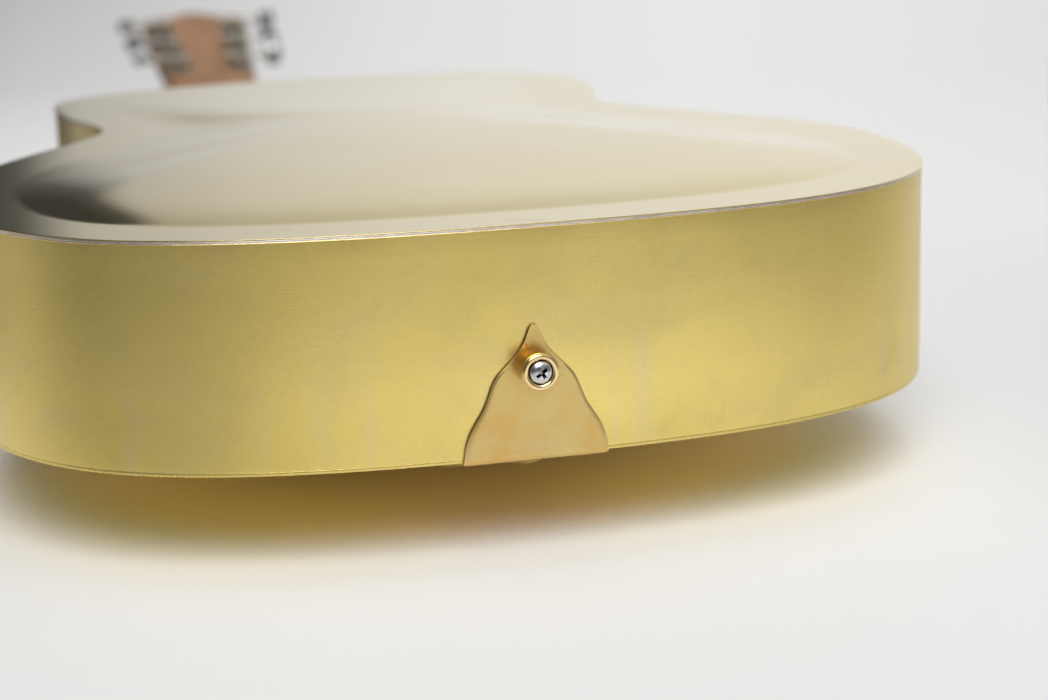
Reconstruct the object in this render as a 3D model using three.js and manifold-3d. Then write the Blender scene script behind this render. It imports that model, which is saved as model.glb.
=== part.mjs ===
// Metal-body resonator guitar, millimetres, +Z up.
// Frame: x = 0 on the centreline with +X on the treble side, y = 0 at the butt edge with +Y
// towards the headstock, z = 0 on the face (rim of the top plate) with the back at negative z.
import * as THREE from 'three';
import Module from 'manifold-3d';
import { mergeVertices } from 'three/addons/utils/BufferGeometryUtils.js';

const wasm = await Module();
wasm.setup();

// ---------------------------------------------------------------- driving dimensions
const LOWER_HALF = 181.103, LOWER_Y = 143.999;   // widest point of the lower bout
const WAIST_HALF = 113.731, WAIST_Y = 300.943;   // narrowest point of the waist
const UPPER_HALF = 129.466, UPPER_Y = 397.34;    // widest point of the upper bout
const BODY_LEN = 463.894, BODY_DEPTH = 77.597;
const SHEET = 1.2;                               // brass sheet thickness
const OVERHANG = 0.5;                            // plates stand this far proud of the sides
const SEAM = 0.6;                                // height of the solder between back and sides

const SCALE = 635, BRIDGE_Y = 181;               // 25 inch scale, 14 frets to the body
const COVER_R = 135, COVER_T = 1;
const CONE_TOP = 4.4;                            // flat top of the cone, under the biscuit
const SADDLE_TOP = 23.2;

const NECK_TILT = THREE.MathUtils.degToRad(2.1);    // set-back of the board plane
const HEAD_TILT = THREE.MathUtils.degToRad(17.6);   // headstock against the face plane
const BOARD_T = 6, NUT_W = 46, JOINT_W = 56.6, FRETS = 19;
const NUT_T = 352.1;                                // nut face, along the board from the joint
const NECK_END = NUT_T + 5.2;                       // where the shaft meets the headstock
const NUT_TOP = 7.3;
const BOARD_END = -70.5;                            // tongue end over the body
const HEAD_THICK = 15, VENEER = 1.5, HEAD_LEN = 176;

const STICK_HALF = 11, STICK_TOP = -26, STICK_BOT = -50;
const PIN_Z = -32;                                  // strap button axis
const TAIL_T = 1.2, TAIL_OUT = -1.6;                // butt plate thickness, y of its outer face

const POST_R = 3;
const AXIS_GAP = 8.3;                               // post axis to worm axis, along the edge
const POST_STATIONS = [19, 51, 83];                 // along the headstock edge
const POST_IN = 10;                                 // post axis inboard of the edge
const HOLE_GAP = 0.35, SKIN = 0.03;                 // running gap round turned parts, glue line

// Strings lie at these multiples of their spacing, from low E to high E.
const STRING_STEPS = [-2.5, -1.5, -0.5, 0.5, 1.5, 2.5];
const TAIL_SPACING = 8.8, SADDLE_SPACING = 10.2, NUT_SPACING = 7.2;

// ---------------------------------------------------------------- solids and booleans
// Manifold from a geometry, with vertices merged and faces turned outwards.
// A manifold is passed straight through.
function solid(shape) {
  if (!shape.isBufferGeometry) return shape;
  const bare = new THREE.BufferGeometry();
  bare.setAttribute('position', shape.attributes.position);
  bare.setIndex(shape.index);
  const merged = mergeVertices(bare, 1e-4);
  const position = merged.attributes.position;
  const index = merged.index.array;
  const corners = [vec(0, 0, 0), vec(0, 0, 0), vec(0, 0, 0)];
  const triangles = [];
  let volume = 0;
  for (let i = 0; i < index.length; i += 3) {
    const face = [index[i], index[i + 1], index[i + 2]];
    if (new Set(face).size < 3) continue;
    triangles.push(face);
    corners.forEach((corner, k) => corner.fromBufferAttribute(position, face[k]));
    volume += corners[0].dot(corners[1].cross(corners[2]));
  }
  if (volume < 0) for (const face of triangles) face.reverse();
  return new wasm.Manifold(new wasm.Mesh({
    numProp: 3, vertProperties: position.array, triVerts: new Uint32Array(triangles.flat()),
  }));
}
const union = (first, ...others) => others.reduce((sum, part) => sum.add(solid(part)), solid(first));
const cut = (base, ...tools) => tools.reduce((rest, tool) => rest.subtract(solid(tool)), solid(base));

function geometryOf(manifold) {
  const mesh = manifold.getMesh();
  const geometry = new THREE.BufferGeometry();
  const vertices = new Float32Array(mesh.vertProperties);
  geometry.setAttribute('position', new THREE.BufferAttribute(vertices, 3));
  geometry.setIndex(new THREE.BufferAttribute(new Uint32Array(mesh.triVerts), 1));
  return geometry;
}

const group = new THREE.Group();
group.name = 'resonator_guitar';
function add(name, shape, material) {
  const flat = geometryOf(solid(shape)).toNonIndexed();
  flat.computeVertexNormals();
  const mesh = new THREE.Mesh(flat, material);
  mesh.name = name;
  group.add(mesh);
}

// ---------------------------------------------------------------- shape helpers
function vec(x, y, z) {
  return new THREE.Vector3(x, y, z);
}
const basis = (xAxis, yAxis, zAxis, origin) =>
  new THREE.Matrix4().makeBasis(xAxis, yAxis, zAxis).setPosition(origin);
const atBridge = (geometry) => geometry.translate(0, BRIDGE_Y, 0);
const toVectors = (points) => points.map(([x, y]) => new THREE.Vector2(x, y));
// reflected in x and run backwards, to close a half outline
const mirrored = (points) => points.map(([x, y]) => [-x, y]).reverse();

const box = ([x0, x1], [y0, y1], [z0, z1]) => new THREE.BoxGeometry(x1 - x0, y1 - y0, z1 - z0)
  .translate((x0 + x1) / 2, (y0 + y1) / 2, (z0 + z1) / 2);
// cylinder or cone along local z; endRadius is at z1
const rod = (radius, z0, z1, segments = 16, endRadius = radius) =>
  new THREE.CylinderGeometry(endRadius, radius, z1 - z0, segments)
    .rotateX(Math.PI / 2)
    .translate(0, 0, (z0 + z1) / 2);
// turned part, profile [r, z] about local z
const turned = (profile, segments) =>
  new THREE.LatheGeometry(toVectors(profile), segments).rotateX(Math.PI / 2);
function plate(points, holes, z0, z1) {
  const shape = new THREE.Shape(toVectors(points));
  for (const hole of holes) shape.holes.push(new THREE.Path(toVectors(hole)));
  const options = { depth: z1 - z0, bevelEnabled: false, curveSegments: 1 };
  return new THREE.ExtrudeGeometry(shape, options).translate(0, 0, z0);
}
// profile [y, z] swept across x, to halfWidth on each side
const sweptAcross = (profile, halfWidth, y = 0, z = 0) =>
  plate(profile, [], -halfWidth, halfWidth)
    .applyMatrix4(basis(vec(0, 1, 0), vec(0, 0, 1), vec(1, 0, 0), vec(0, y, z)));
const circle = (centreX, centreY, radius, count) => Array.from({ length: count }, (_, i) => {
  const angle = (2 * Math.PI * (i + 0.5)) / count;
  return [centreX + radius * Math.cos(angle), centreY + radius * Math.sin(angle)];
});

// lofted solid: a cylinder grid whose rings are moved on to the given sections
function loft(sections) {
  const spans = sections.length - 1;
  const around = sections[0].length;
  const geometry = new THREE.CylinderGeometry(1, 1, spans, around, spans, false);
  const position = geometry.attributes.position;
  const middles = sections.map((section) =>
    section.reduce((sum, point) => sum.add(point), vec(0, 0, 0)).multiplyScalar(1 / around));
  for (let i = 0; i < position.count; i++) {
    const x = position.getX(i);
    const z = position.getZ(i);
    const row = Math.round(spans / 2 - position.getY(i));
    const step = Math.round((Math.atan2(x, z) / (2 * Math.PI)) * around);
    const onRing = Math.hypot(x, z) > 0.5;
    const target = onRing ? sections[row][(step + around) % around] : middles[row];
    position.setXYZ(i, target.x, target.y, target.z);
  }
  return geometry;
}

// ---------------------------------------------------------------- materials
const metal = ({ color, roughness }) =>
  new THREE.MeshStandardMaterial({ color, roughness, metalness: 1 });
const nonMetal = ({ color, roughness }) =>
  new THREE.MeshStandardMaterial({ color, roughness, metalness: 0 });
const BRASS = metal({ color: 0xc9a94a, roughness: 0.38 });
const BRASS_POLISHED = metal({ color: 0xd9c06a, roughness: 0.16 });
const BRASS_COVER = metal({ color: 0xcfae52, roughness: 0.3 });
const SOLDER = metal({ color: 0xa9a79c, roughness: 0.45 });
const ALUMINIUM = metal({ color: 0xc9ccd0, roughness: 0.35 });
const NICKEL = metal({ color: 0xb9b7b0, roughness: 0.3 });
const STEEL = metal({ color: 0x9a9a9c, roughness: 0.28 });
const BRONZE = metal({ color: 0xb07d45, roughness: 0.32 });
const PLAIN_STRING = metal({ color: 0xc6c6c8, roughness: 0.22 });
const GOLD = metal({ color: 0xd8a24e, roughness: 0.22 });
const MAHOGANY = nonMetal({ color: 0x7d5137, roughness: 0.5 });
const MAPLE = nonMetal({ color: 0xd8b98a, roughness: 0.55 });
const ROSEWOOD = nonMetal({ color: 0x3b261c, roughness: 0.55 });
const EBONY = nonMetal({ color: 0x1e1a18, roughness: 0.4 });
const BONE = nonMetal({ color: 0xe9e1cc, roughness: 0.4 });

// ---------------------------------------------------------------- body outline
const TO_WAIST = WAIST_Y - LOWER_Y, TO_UPPER = UPPER_Y - WAIST_Y, TO_END = BODY_LEN - UPPER_Y;
// treble half, butt to neck: segment count, then the control points of a cubic curve
const OUTLINE_CURVES = [
  [9, [0, 0], [0.597 * LOWER_HALF, 0],
    [LOWER_HALF, LOWER_Y * (1 - 0.863)], [LOWER_HALF, LOWER_Y]],
  [8, [LOWER_HALF, LOWER_Y], [LOWER_HALF, LOWER_Y + 0.418 * TO_WAIST],
    [WAIST_HALF, WAIST_Y - 0.196 * TO_WAIST], [WAIST_HALF, WAIST_Y]],
  [6, [WAIST_HALF, WAIST_Y], [WAIST_HALF, WAIST_Y + 0.296 * TO_UPPER],
    [UPPER_HALF, UPPER_Y - 0.584 * TO_UPPER], [UPPER_HALF, UPPER_Y]],
  [10, [UPPER_HALF, UPPER_Y], [UPPER_HALF, UPPER_Y + 0.647 * TO_END],
    [0.641 * UPPER_HALF, BODY_LEN], [0, BODY_LEN]],
];
// outline points with their outward normals
const halfOutline = OUTLINE_CURVES.flatMap(([count, ...controls]) => {
  const curve = new THREE.CubicBezierCurve(...toVectors(controls));
  return Array.from({ length: count }, (_, i) => {
    const point = curve.getPoint(i / count);
    const tangent = curve.getTangent(i / count);
    return { x: point.x, y: point.y, normalX: tangent.y, normalY: -tangent.x };
  });
});
// the two points on the centreline face straight along y
Object.assign(halfOutline[0], { normalX: 0, normalY: -1 });
halfOutline.push({ x: 0, y: BODY_LEN, normalX: 0, normalY: 1 });

function outline(inset) {
  const right = halfOutline.map((p) => [p.x - inset * p.normalX, p.y - inset * p.normalY]);
  return right.concat(mirrored(right.slice(1, -1)));
}

// ---------------------------------------------------------------- back plate, stamped crown
const BACK_CROWN = 7.2;
const CROWN_INSET = 24, CROWN_CENTRE_Y = 245;   // width of the flat border, centre of the crown
// scale of the crown's edge outline about the centre, share of the full crown depth
const CROWN_STEPS = [[0, 1], [0.3, 0.965], [0.55, 0.86], [0.75, 0.65], [0.88, 0.38], [0.95, 0.15], [1, 0]];
const crownRows = (raise) => [
  ...CROWN_STEPS.map(([scale, depth]) => (
    { scale, inset: CROWN_INSET, z: -BODY_DEPTH - depth * BACK_CROWN + raise })),
  { scale: 1, inset: 0, z: -BODY_DEPTH + raise },
];
// closed skin through body outlines stacked row by row, as a lathe grid with its points moved
function stamped(rows) {
  const around = outline(0).length;
  const geometry = new THREE.LatheGeometry(rows.map((_, j) => new THREE.Vector2(1, j)), around);
  rows.forEach(({ scale, inset, z }, j) => {
    const ring = outline(inset);
    for (let i = 0; i <= around; i++) {
      const [x, y] = ring[i % around];
      const scaledY = CROWN_CENTRE_Y + scale * (y - CROWN_CENTRE_Y);
      geometry.attributes.position.setXYZ(i * rows.length + j, scale * x, scaledY, z);
    }
  });
  return geometry;
}
add('body_back', stamped([...crownRows(0), ...crownRows(SHEET).reverse()]), BRASS_POLISHED);

// ---------------------------------------------------------------- sides, solder, top plate
const seamTop = -BODY_DEPTH + SHEET + SEAM;
const sideInner = outline(OVERHANG + SHEET);
// bore along y for the strap screw
const pinHole = (radius) => rod(radius, 0, 40).rotateX(-Math.PI / 2).translate(0, -12, PIN_Z);
const stickHole = box(
  [-STICK_HALF - HOLE_GAP, STICK_HALF + HOLE_GAP], [440, 480],
  [STICK_BOT - HOLE_GAP, STICK_TOP + HOLE_GAP]);
const sideRing = plate(outline(OVERHANG), [sideInner], seamTop, -SHEET);
add('body_sides', cut(sideRing, stickHole, pinHole(2.4)), BRASS);
const seam = plate(outline(OVERHANG - 0.15), [sideInner], -BODY_DEPTH + SHEET, seamTop);
add('back_seam_solder', seam, SOLDER);

// f-shaped sound holes in the upper bout
const F_LEN = 104, F_SWING = 9, F_X = 78, F_Y = 385;   // length, sideways swing, centre
// distance along the hole, half width there; the second half repeats it backwards
const F_WIDTHS = [
  [0, 0.6], [1.2, 3.2], [4, 5.2], [7, 5.6], [10, 4.6], [13, 2.9], [22, 2.3], [36, 3], [52, 3.6]];
function soundHole(side) {
  const farWidths = F_WIDTHS.slice(0, -1).reverse().map(([d, width]) => [F_LEN - d, width]);
  const left = [], right = [];
  for (const [distance, width] of [...F_WIDTHS, ...farWidths]) {
    const angle = (Math.PI * distance) / F_LEN;
    const x = -F_SWING * Math.cos(angle);
    const y = distance - F_LEN / 2;
    const slope = (F_SWING * Math.PI * Math.sin(angle)) / F_LEN;
    const length = Math.hypot(slope, 1);
    left.push([x - width / length, y + (width * slope) / length]);
    right.push([x + width / length, y - (width * slope) / length]);
  }
  return left.concat(right.reverse()).map(([x, y]) => [side * (F_X - x), F_Y + y]);
}
const WELL_R = 121, WELL_Z = -22;
const topHoles = [circle(0, BRIDGE_Y, WELL_R, 48), soundHole(1), soundHole(-1)];
add('body_top', plate(outline(0), topHoles, -SHEET, 0), BRASS);

// ---------------------------------------------------------------- soundwell, cone, biscuit, saddle
const WELL_FLOOR = WELL_Z + 1;
add('soundwell', atBridge(turned([
  [WELL_R + 2, -SHEET], [WELL_R + 2, WELL_Z], [WELL_R - 8, WELL_Z], [WELL_R - 8, WELL_FLOOR],
  [WELL_R + 1, WELL_FLOOR], [WELL_R + 1, -SHEET], [WELL_R + 2, -SHEET],
], 40)), BRASS);

const CONE_R = 120.2, CONE_T = 0.8;
const cone = atBridge(turned([
  // upper skin, centre to rim
  [0, CONE_TOP], [29, CONE_TOP], [32, CONE_TOP - 1.4], [72, -7.6],
  [110.5, WELL_FLOOR + 2.6], [113.5, WELL_FLOOR + CONE_T], [CONE_R, WELL_FLOOR + CONE_T],
  // lower skin, rim to centre
  [CONE_R, WELL_FLOOR], [113, WELL_FLOOR], [110, WELL_FLOOR + 1.6],
  [72, -8.6], [31.4, CONE_TOP - 2.4], [28.6, CONE_TOP - CONE_T], [0, CONE_TOP - CONE_T],
], 40));
const screwHole = solid(atBridge(rod(1.9, -5, 10.2, 12)));
add('cone', cut(cone, screwHole), ALUMINIUM);

const BISCUIT_R = 28, BISCUIT_TOP = 13.4;
const SADDLE_FOOT = 10.4, SADDLE_HALF_X = 27, SADDLE_HALF_Y = 2.5;
const SLOT_HALF_Y = SADDLE_HALF_Y + 0.3;
const biscuit = atBridge(rod(BISCUIT_R, CONE_TOP, BISCUIT_TOP, 32));
const saddleSlot = atBridge(box([-40, 40], [-SLOT_HALF_Y, SLOT_HALF_Y], [SADDLE_FOOT, 20]));
add('biscuit', cut(biscuit, screwHole, saddleSlot), MAPLE);
add('saddle', atBridge(box([-SADDLE_HALF_X, SADDLE_HALF_X], [-SADDLE_HALF_Y, SADDLE_HALF_Y],
  [SADDLE_FOOT, SADDLE_TOP])), MAPLE);
add('biscuit_screw',
  union(atBridge(rod(1.6, 3, 10, 12)), atBridge(rod(3.6, 1.4, 3.4, 12))), STEEL);

// ---------------------------------------------------------------- coverplate
// rectangle about the bridge with its corners cut off
function clippedRectangle(halfX, halfY, cutX, cutY) {
  const right = [
    [halfX - cutX, -halfY], [halfX, cutY - halfY], [halfX, halfY - cutY], [halfX - cutX, halfY]];
  return [...right, ...mirrored(right)].map(([x, y]) => [x, y + BRIDGE_Y]);
}
// upper surface [r, z], centre to rim
const COVER_PROFILE = [
  [0, 16], [30, 15.6], [68, 13], [98, 8.8], [113, 5.2], [123, COVER_T], [COVER_R, COVER_T]];
const cover = atBridge(turned([
  ...COVER_PROFILE, [COVER_R, 0], [122.2, 0],
  ...COVER_PROFILE.slice(0, 5).reverse().map(([r, z]) => [r, z - COVER_T]),
], 40));

// one radial slot; step counts from the middle slot of its fan of five, in one of four quarters
function coverSlot(quarter, step) {
  const innerHalf = 1.7, outerHalf = 3.8;
  const innerR = 64 + 4 * Math.abs(step), outerR = 106 - 3.5 * Math.abs(step);
  const points = [
    [innerR, -innerHalf], [outerR, -outerHalf], [outerR + 2.2, 0],
    [outerR, outerHalf], [innerR, innerHalf]];
  const turn = THREE.MathUtils.degToRad(45 + 90 * quarter + 10 * step);
  return atBridge(plate(points, [], -5, 30).rotateZ(turn));
}
const slots = [0, 1, 2, 3].flatMap((quarter) =>
  [-2, -1, 0, 1, 2].map((step) => coverSlot(quarter, step)));
const mouth = plate(clippedRectangle(34, 14, 4, 4), [], -5, 40);
add('coverplate', cut(cover, union(...slots), mouth), BRASS_COVER);

// ---------------------------------------------------------------- handrest
const REST_TOP = 34, REST_T = 1.6, REST_HALF_Y = 19;
const REST_FLAT = 40, REST_BEND = 14;   // half length of the flat top, inner bend radius
const REST_FOOT = 8;                    // lowest z before trimming to the coverplate
// treble half of the arch [x, z], centre to foot, at an offset from its inner surface
function restArch(offset) {
  const radius = REST_BEND + offset;
  const points = [];
  for (let i = 0; i <= 5; i++) {
    const angle = (Math.PI / 2) * (i / 5) * 0.86;
    points.push([
      REST_FLAT + radius * Math.sin(angle),
      REST_TOP - REST_T - REST_BEND + radius * Math.cos(angle)]);
  }
  points.push([points[5][0] + 2.4, REST_FOOT]);
  return points;
}
const outerArch = restArch(REST_T);
const innerLoop = mirrored(restArch(0)).concat(restArch(0)).reverse();
const archLoop = [...mirrored(outerArch), ...outerArch, ...innerLoop];
const arch = atBridge(plate(archLoop, [], -REST_HALF_Y, REST_HALF_Y).rotateX(Math.PI / 2));
const restFoot = (x0, x1) =>
  atBridge(box([x0, x1], [-REST_HALF_Y, REST_HALF_Y], [REST_FOOT, 15.6]));
const restPlan = plate(clippedRectangle(70, REST_HALF_Y, 10, 4), [], 0, 40);
// everything below the coverplate's upper surface, with a small gap
const underCover = atBridge(turned(
  [...COVER_PROFILE.map(([r, z]) => [r, z + 0.15]), [COVER_R, -10], [0, -10]], 40));
const rest = union(arch, restFoot(54, 66), restFoot(-66, -54)).intersect(solid(restPlan));
add('handrest', cut(rest, underCover), BRASS_COVER);

// ---------------------------------------------------------------- neck and headstock frames
// neck frame: y is t along the board from the joint, z is h above its underside
const jointPoint = vec(0, BODY_LEN, 1.5);
const tiltedFrame = (tilt, origin) => basis(
  vec(1, 0, 0), vec(0, Math.cos(tilt), -Math.sin(tilt)), vec(0, Math.sin(tilt), Math.cos(tilt)),
  origin);
const NECK = tiltedFrame(NECK_TILT, jointPoint);
const neckPoint = (x, t, h) => vec(x, t, h).applyMatrix4(NECK);
const boardHalf = (t) => (NUT_W + ((JOINT_W - NUT_W) * (NUT_T - t)) / NUT_T) / 2;
// headstock frame: y runs to the tip, z = 0 on the front of the veneer
const HEAD = tiltedFrame(HEAD_TILT, neckPoint(0, NECK_END, 3.7));
// HEAD with z turned to point away from the back of the headstock
const headBack = (x, y) => new THREE.Matrix4()
  .multiplyMatrices(HEAD, new THREE.Matrix4().makeScale(1, 1, -1).setPosition(x, y, -HEAD_THICK));

// straight part of the headstock edge, which carries the tuners
const EDGE_START = [30, 55], EDGE_END = [37.2, 156];
// half outline [x, y], nut end to tip
const HEAD_HALF = [
  [23, -14], [23.6, 0], [25.6, 9], [28, 24], EDGE_START, EDGE_END,
  [37.4, 161], [35.5, 164.6], [28, 166.4], [18, 168.6], [10, 173], [4.5, 175.4]];
const headLoop = (half) => [...half, [0, HEAD_LEN], ...mirrored(half)];

// tuner places: side is 1 for treble and -1 for bass
const EDGE_ANGLE = Math.atan2(EDGE_END[0] - EDGE_START[0], EDGE_END[1] - EDGE_START[1]);
const edgeAlong = (side) => vec(side * Math.sin(EDGE_ANGLE), Math.cos(EDGE_ANGLE), 0);
const edgeOut = (side) => vec(side * Math.cos(EDGE_ANGLE), -Math.sin(EDGE_ANGLE), 0);
const edgePoint = (side, distance, inboard = 0) => vec(side * EDGE_START[0], EDGE_START[1], 0)
  .addScaledVector(edgeAlong(side), distance)
  .addScaledVector(edgeOut(side), -inboard);
const stations = [1, -1].flatMap((side) => POST_STATIONS.map((distance, index) => (
  { side, index, distance, post: edgePoint(side, distance, POST_IN) })));

// ---------------------------------------------------------------- neck
// t along the neck, depth below the board: heel to headstock
const NECK_DEPTHS = [
  [-4, 65.5], [3, 64.5], [10, 58], [17, 48], [26, 36.5], [38, 26.5], [54, 19.6], [76, 17.2],
  [180, 16.2], [300, 15.4], [NECK_END, 15.2]];
const RING = 18;             // points round a section
const ROUND_SHARE = 0.7;     // share of them on the rounded underside
function neckSection([t, depth]) {
  const half = boardHalf(Math.min(t, NUT_T));
  const deepest = depth - (depth > 30 ? 1.5 : 0.2);
  return Array.from({ length: RING }, (_, i) => {
    const share = i / RING;
    if (share >= ROUND_SHARE) {
      return neckPoint(-half + 2 * half * ((share - ROUND_SHARE) / 0.3), t, 0);
    }
    const angle = Math.PI * (share / ROUND_SHARE);
    const across = Math.cos(angle);
    return neckPoint(
      half * Math.sign(across) * Math.abs(across) ** 0.92, t,
      -Math.min(depth * Math.sin(angle) ** 0.9, deepest));
  });
}
function neck() {
  const tongueHalf = boardHalf(0) - 0.6, tongueLen = 70;
  const tongueBase = 0.05, tongueRise = 1.4;   // underside, and top at the joint
  const tongue = sweptAcross([
    [0, tongueBase], [0, tongueRise],
    [-tongueLen, tongueRise + tongueLen * Math.tan(NECK_TILT)], [-tongueLen, tongueBase],
  ], tongueHalf, BODY_LEN);
  const tongueRoot = box([-tongueHalf, tongueHalf], [BODY_LEN - 1, BODY_LEN + 12], [tongueBase, 1]);
  const headWood = plate(headLoop(HEAD_HALF), [], -HEAD_THICK, -VENEER).applyMatrix4(HEAD);
  const nutRoom = box([-60, 60], [200, NECK_END], [0, 60]).applyMatrix4(NECK);
  // the heel is cut to the curve of the body end with a hair of clearance
  const bodyBlock = plate(outline(-0.15), [], -100, 0);
  const aboveFace = box([-60, 60], [380, BODY_LEN + 0.3], [0.9, 30]);
  const shaft = cut(loft(NECK_DEPTHS.map(neckSection)), bodyBlock, aboveFace);
  const postHoles = stations.map(({ post }) =>
    rod(POST_R + HOLE_GAP, -40, 20, 10).translate(post.x, post.y, 0).applyMatrix4(HEAD));
  return cut(union(shaft, tongue, tongueRoot, cut(headWood, nutRoom)), ...postHoles);
}
add('neck', neck(), MAHOGANY);

const veneerHoles = stations.map(({ post }) => circle(post.x, post.y, POST_R + HOLE_GAP, 10));
const veneerLoop = [[-23.8, 0.4], [23.8, 0.4], ...headLoop(HEAD_HALF.filter(([, y]) => y >= 5))];
add('headstock_veneer',
  plate(veneerLoop, veneerHoles, -VENEER + SKIN, 0).applyMatrix4(HEAD), EBONY);

// ---------------------------------------------------------------- neck stick and its supports
const stick = box([-STICK_HALF, STICK_HALF], [2.2, BODY_LEN - 0.2], [STICK_BOT, STICK_TOP]);
add('neck_stick', cut(stick, pinHole(2.2)), MAPLE);
// everything below the inner skin of the back, plus a small gap
const belowBack = solid(stamped([
  ...crownRows(SHEET + 0.1), ...crownRows(0).reverse().map((row) => ({ ...row, z: -120 }))]));
for (const [place, y0, y1] of [['lower', 118, 146], ['upper', 318, 346]]) {
  const block = box([-10, 10], [y0, y1], [-100, STICK_BOT]);
  add(`stick_support_${place}`, cut(block, belowBack), MAPLE);
}

// ---------------------------------------------------------------- board, frets, nut
const boardEdge = [[boardHalf(NUT_T), NUT_T], [boardHalf(BOARD_END), BOARD_END]];
add('fretboard',
  plate([...boardEdge, ...mirrored(boardEdge)], [], SKIN, BOARD_T).applyMatrix4(NECK), ROSEWOOD);

// section of a fret [along the board, height]
const FRET_SECTION = [[-1.25, 0], [1.25, 0], [1, 0.7], [0.35, 1.1], [-0.35, 1.1], [-1, 0.7]];
for (let n = 1; n <= FRETS; n++) {
  const t = NUT_T - SCALE * (1 - 2 ** (-n / 12));
  const fret = sweptAcross(FRET_SECTION, boardHalf(t) - 0.6, t, BOARD_T + SKIN);
  add(`fret_${String(n).padStart(2, '0')}`, fret.applyMatrix4(NECK), NICKEL);
}
const nut = box([-NUT_W / 2, NUT_W / 2], [NUT_T + 0.05, NUT_T + 5.1], [0.02, NUT_TOP]);
add('nut', nut.applyMatrix4(NECK), BONE);

// ---------------------------------------------------------------- tuners
const MOUNT_T = 1, WORM_H = 4;            // plate thickness, worm axis off the headstock back
const SHAFT_R = 1.5, WORM_R = 1.9;
const GEAR_R = 6.1, GEAR_ROOT = GEAR_R - 1.1, GEAR_TEETH = 14;
const KNOB_AT = 14.6;                     // oval button, distance out from the edge
const KNOB_HALF_W = 8.6, KNOB_HALF_L = 6, KNOB_BEVEL = 1.3;
// where each button happens to stand, degrees
const KNOB_TURN = { treble: [20, 75, 50], bass: [65, 10, 85] };
// mounting plate outline [along the edge, outboard of it]
const MOUNT_OUTLINE = [
  [7, -16.8], [9, -18.4], [99, -18.4], [101, -16.8], [101, -2], [99.5, -0.6], [8.5, -0.6], [7, -2]];
const sideName = (side) => (side > 0 ? 'treble' : 'bass');

// plate on the back of the headstock, with two ears to carry each worm shaft
function tunerPlate(side) {
  const holes = POST_STATIONS.map((u) => circle(u, -POST_IN, POST_R + HOLE_GAP, 10));
  const ears = POST_STATIONS.flatMap((u) => [-16.6, -2].map((v) => {
    const axis = u + AXIS_GAP;
    const ear = box([axis - 2.9, axis + 2.9], [v - 1.1, v + 1.1], [MOUNT_T - 0.2, WORM_H + 2.9]);
    const bore = rod(SHAFT_R + HOLE_GAP, -3, 3, 8).rotateX(Math.PI / 2).translate(axis, v, WORM_H);
    return cut(ear, bore);
  }));
  return geometryOf(union(plate(MOUNT_OUTLINE, holes, SKIN, MOUNT_T), ...ears))
    .applyMatrix4(basis(edgeAlong(side), edgeOut(side), vec(0, 0, 1), edgePoint(side, 0)))
    .applyMatrix4(headBack(0, 0));
}
for (const side of [1, -1]) add(`tuner_plate_${sideName(side)}`, tunerPlate(side), NICKEL);

// post with its gear: local z runs from the front of the head to its back
function tunerPost({ post }) {
  // angle in tooth pitches, radius
  const tooth = [[-0.3, GEAR_ROOT], [-0.14, GEAR_R], [0.14, GEAR_R], [0.3, GEAR_ROOT]];
  const teeth = Array.from({ length: GEAR_TEETH }, (_, i) => tooth.map(([offset, radius]) => {
    const angle = ((i + offset) * 2 * Math.PI) / GEAR_TEETH;
    return [radius * Math.cos(angle), radius * Math.sin(angle)];
  })).flat();
  const turnedPost = union(
    rod(POST_R, -HEAD_THICK - 13, 2.6, 10), plate(teeth, [], 2.4, 5.6), rod(1.6, 5.4, 6.8, 8));
  const stringHole = box([-0.8, 0.8], [-4, 4], [-HEAD_THICK - 9.6, -HEAD_THICK - 7.4]);
  return geometryOf(cut(turnedPost, stringHole)).applyMatrix4(headBack(post.x, post.y));
}

// worm shaft with its button: local z points outboard, local x along the headstock edge
function tunerButton({ side, index, distance }) {
  const oval = new THREE.Shape();
  const halfW = KNOB_HALF_W - KNOB_BEVEL, halfL = KNOB_HALF_L - KNOB_BEVEL;
  oval.absellipse(0, 0, halfW, halfL, 0, Math.PI * 2, false, 0);
  const knob = new THREE.ExtrudeGeometry(oval, {
    depth: 4, curveSegments: 6,
    bevelEnabled: true, bevelThickness: KNOB_BEVEL, bevelSize: KNOB_BEVEL, bevelSegments: 1,
  }).translate(0, 0, -2).rotateX(Math.PI / 2).translate(0, 0, KNOB_AT);
  const shaft = rod(SHAFT_R, -18.6, KNOB_AT - 5, 8);
  const worm = rod(WORM_R, -15.1, -3.5, 10);
  const collar = rod(2.6, KNOB_AT - 9.4, KNOB_AT - 5.4, 10, 3.2);
  const origin = edgePoint(side, distance + AXIS_GAP).setZ(-HEAD_THICK - WORM_H);
  return geometryOf(union(shaft, worm, collar, knob))
    .rotateZ((KNOB_TURN[sideName(side)][index] * Math.PI) / 180)
    .applyMatrix4(basis(edgeAlong(side), vec(0, 0, side), edgeOut(side), origin))
    .applyMatrix4(HEAD);
}
for (const station of stations) {
  const tag = `${sideName(station.side)}_${station.index + 1}`;
  add(`tuner_post_${tag}`, tunerPost(station), NICKEL);
  add(`tuner_button_${tag}`, tunerButton(station), STEEL);
}

// ---------------------------------------------------------------- tailpiece
// bell-shaped butt plate, half outline [x, z] from the bottom up
const BELL_HALF = [
  [0, -45.2], [1.5, -43.4], [2.6, -40.7], [4, -37.5], [5.9, -34.8], [8.7, -31.9], [11.8, -28.4],
  [13.6, -25], [15.1, -21.3], [16.8, -17.4], [19, -14], [21.2, -10.7], [22.9, -7.2],
  [23.9, -3.7], [24.5, 0], [24.6, 1.25]];
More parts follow.
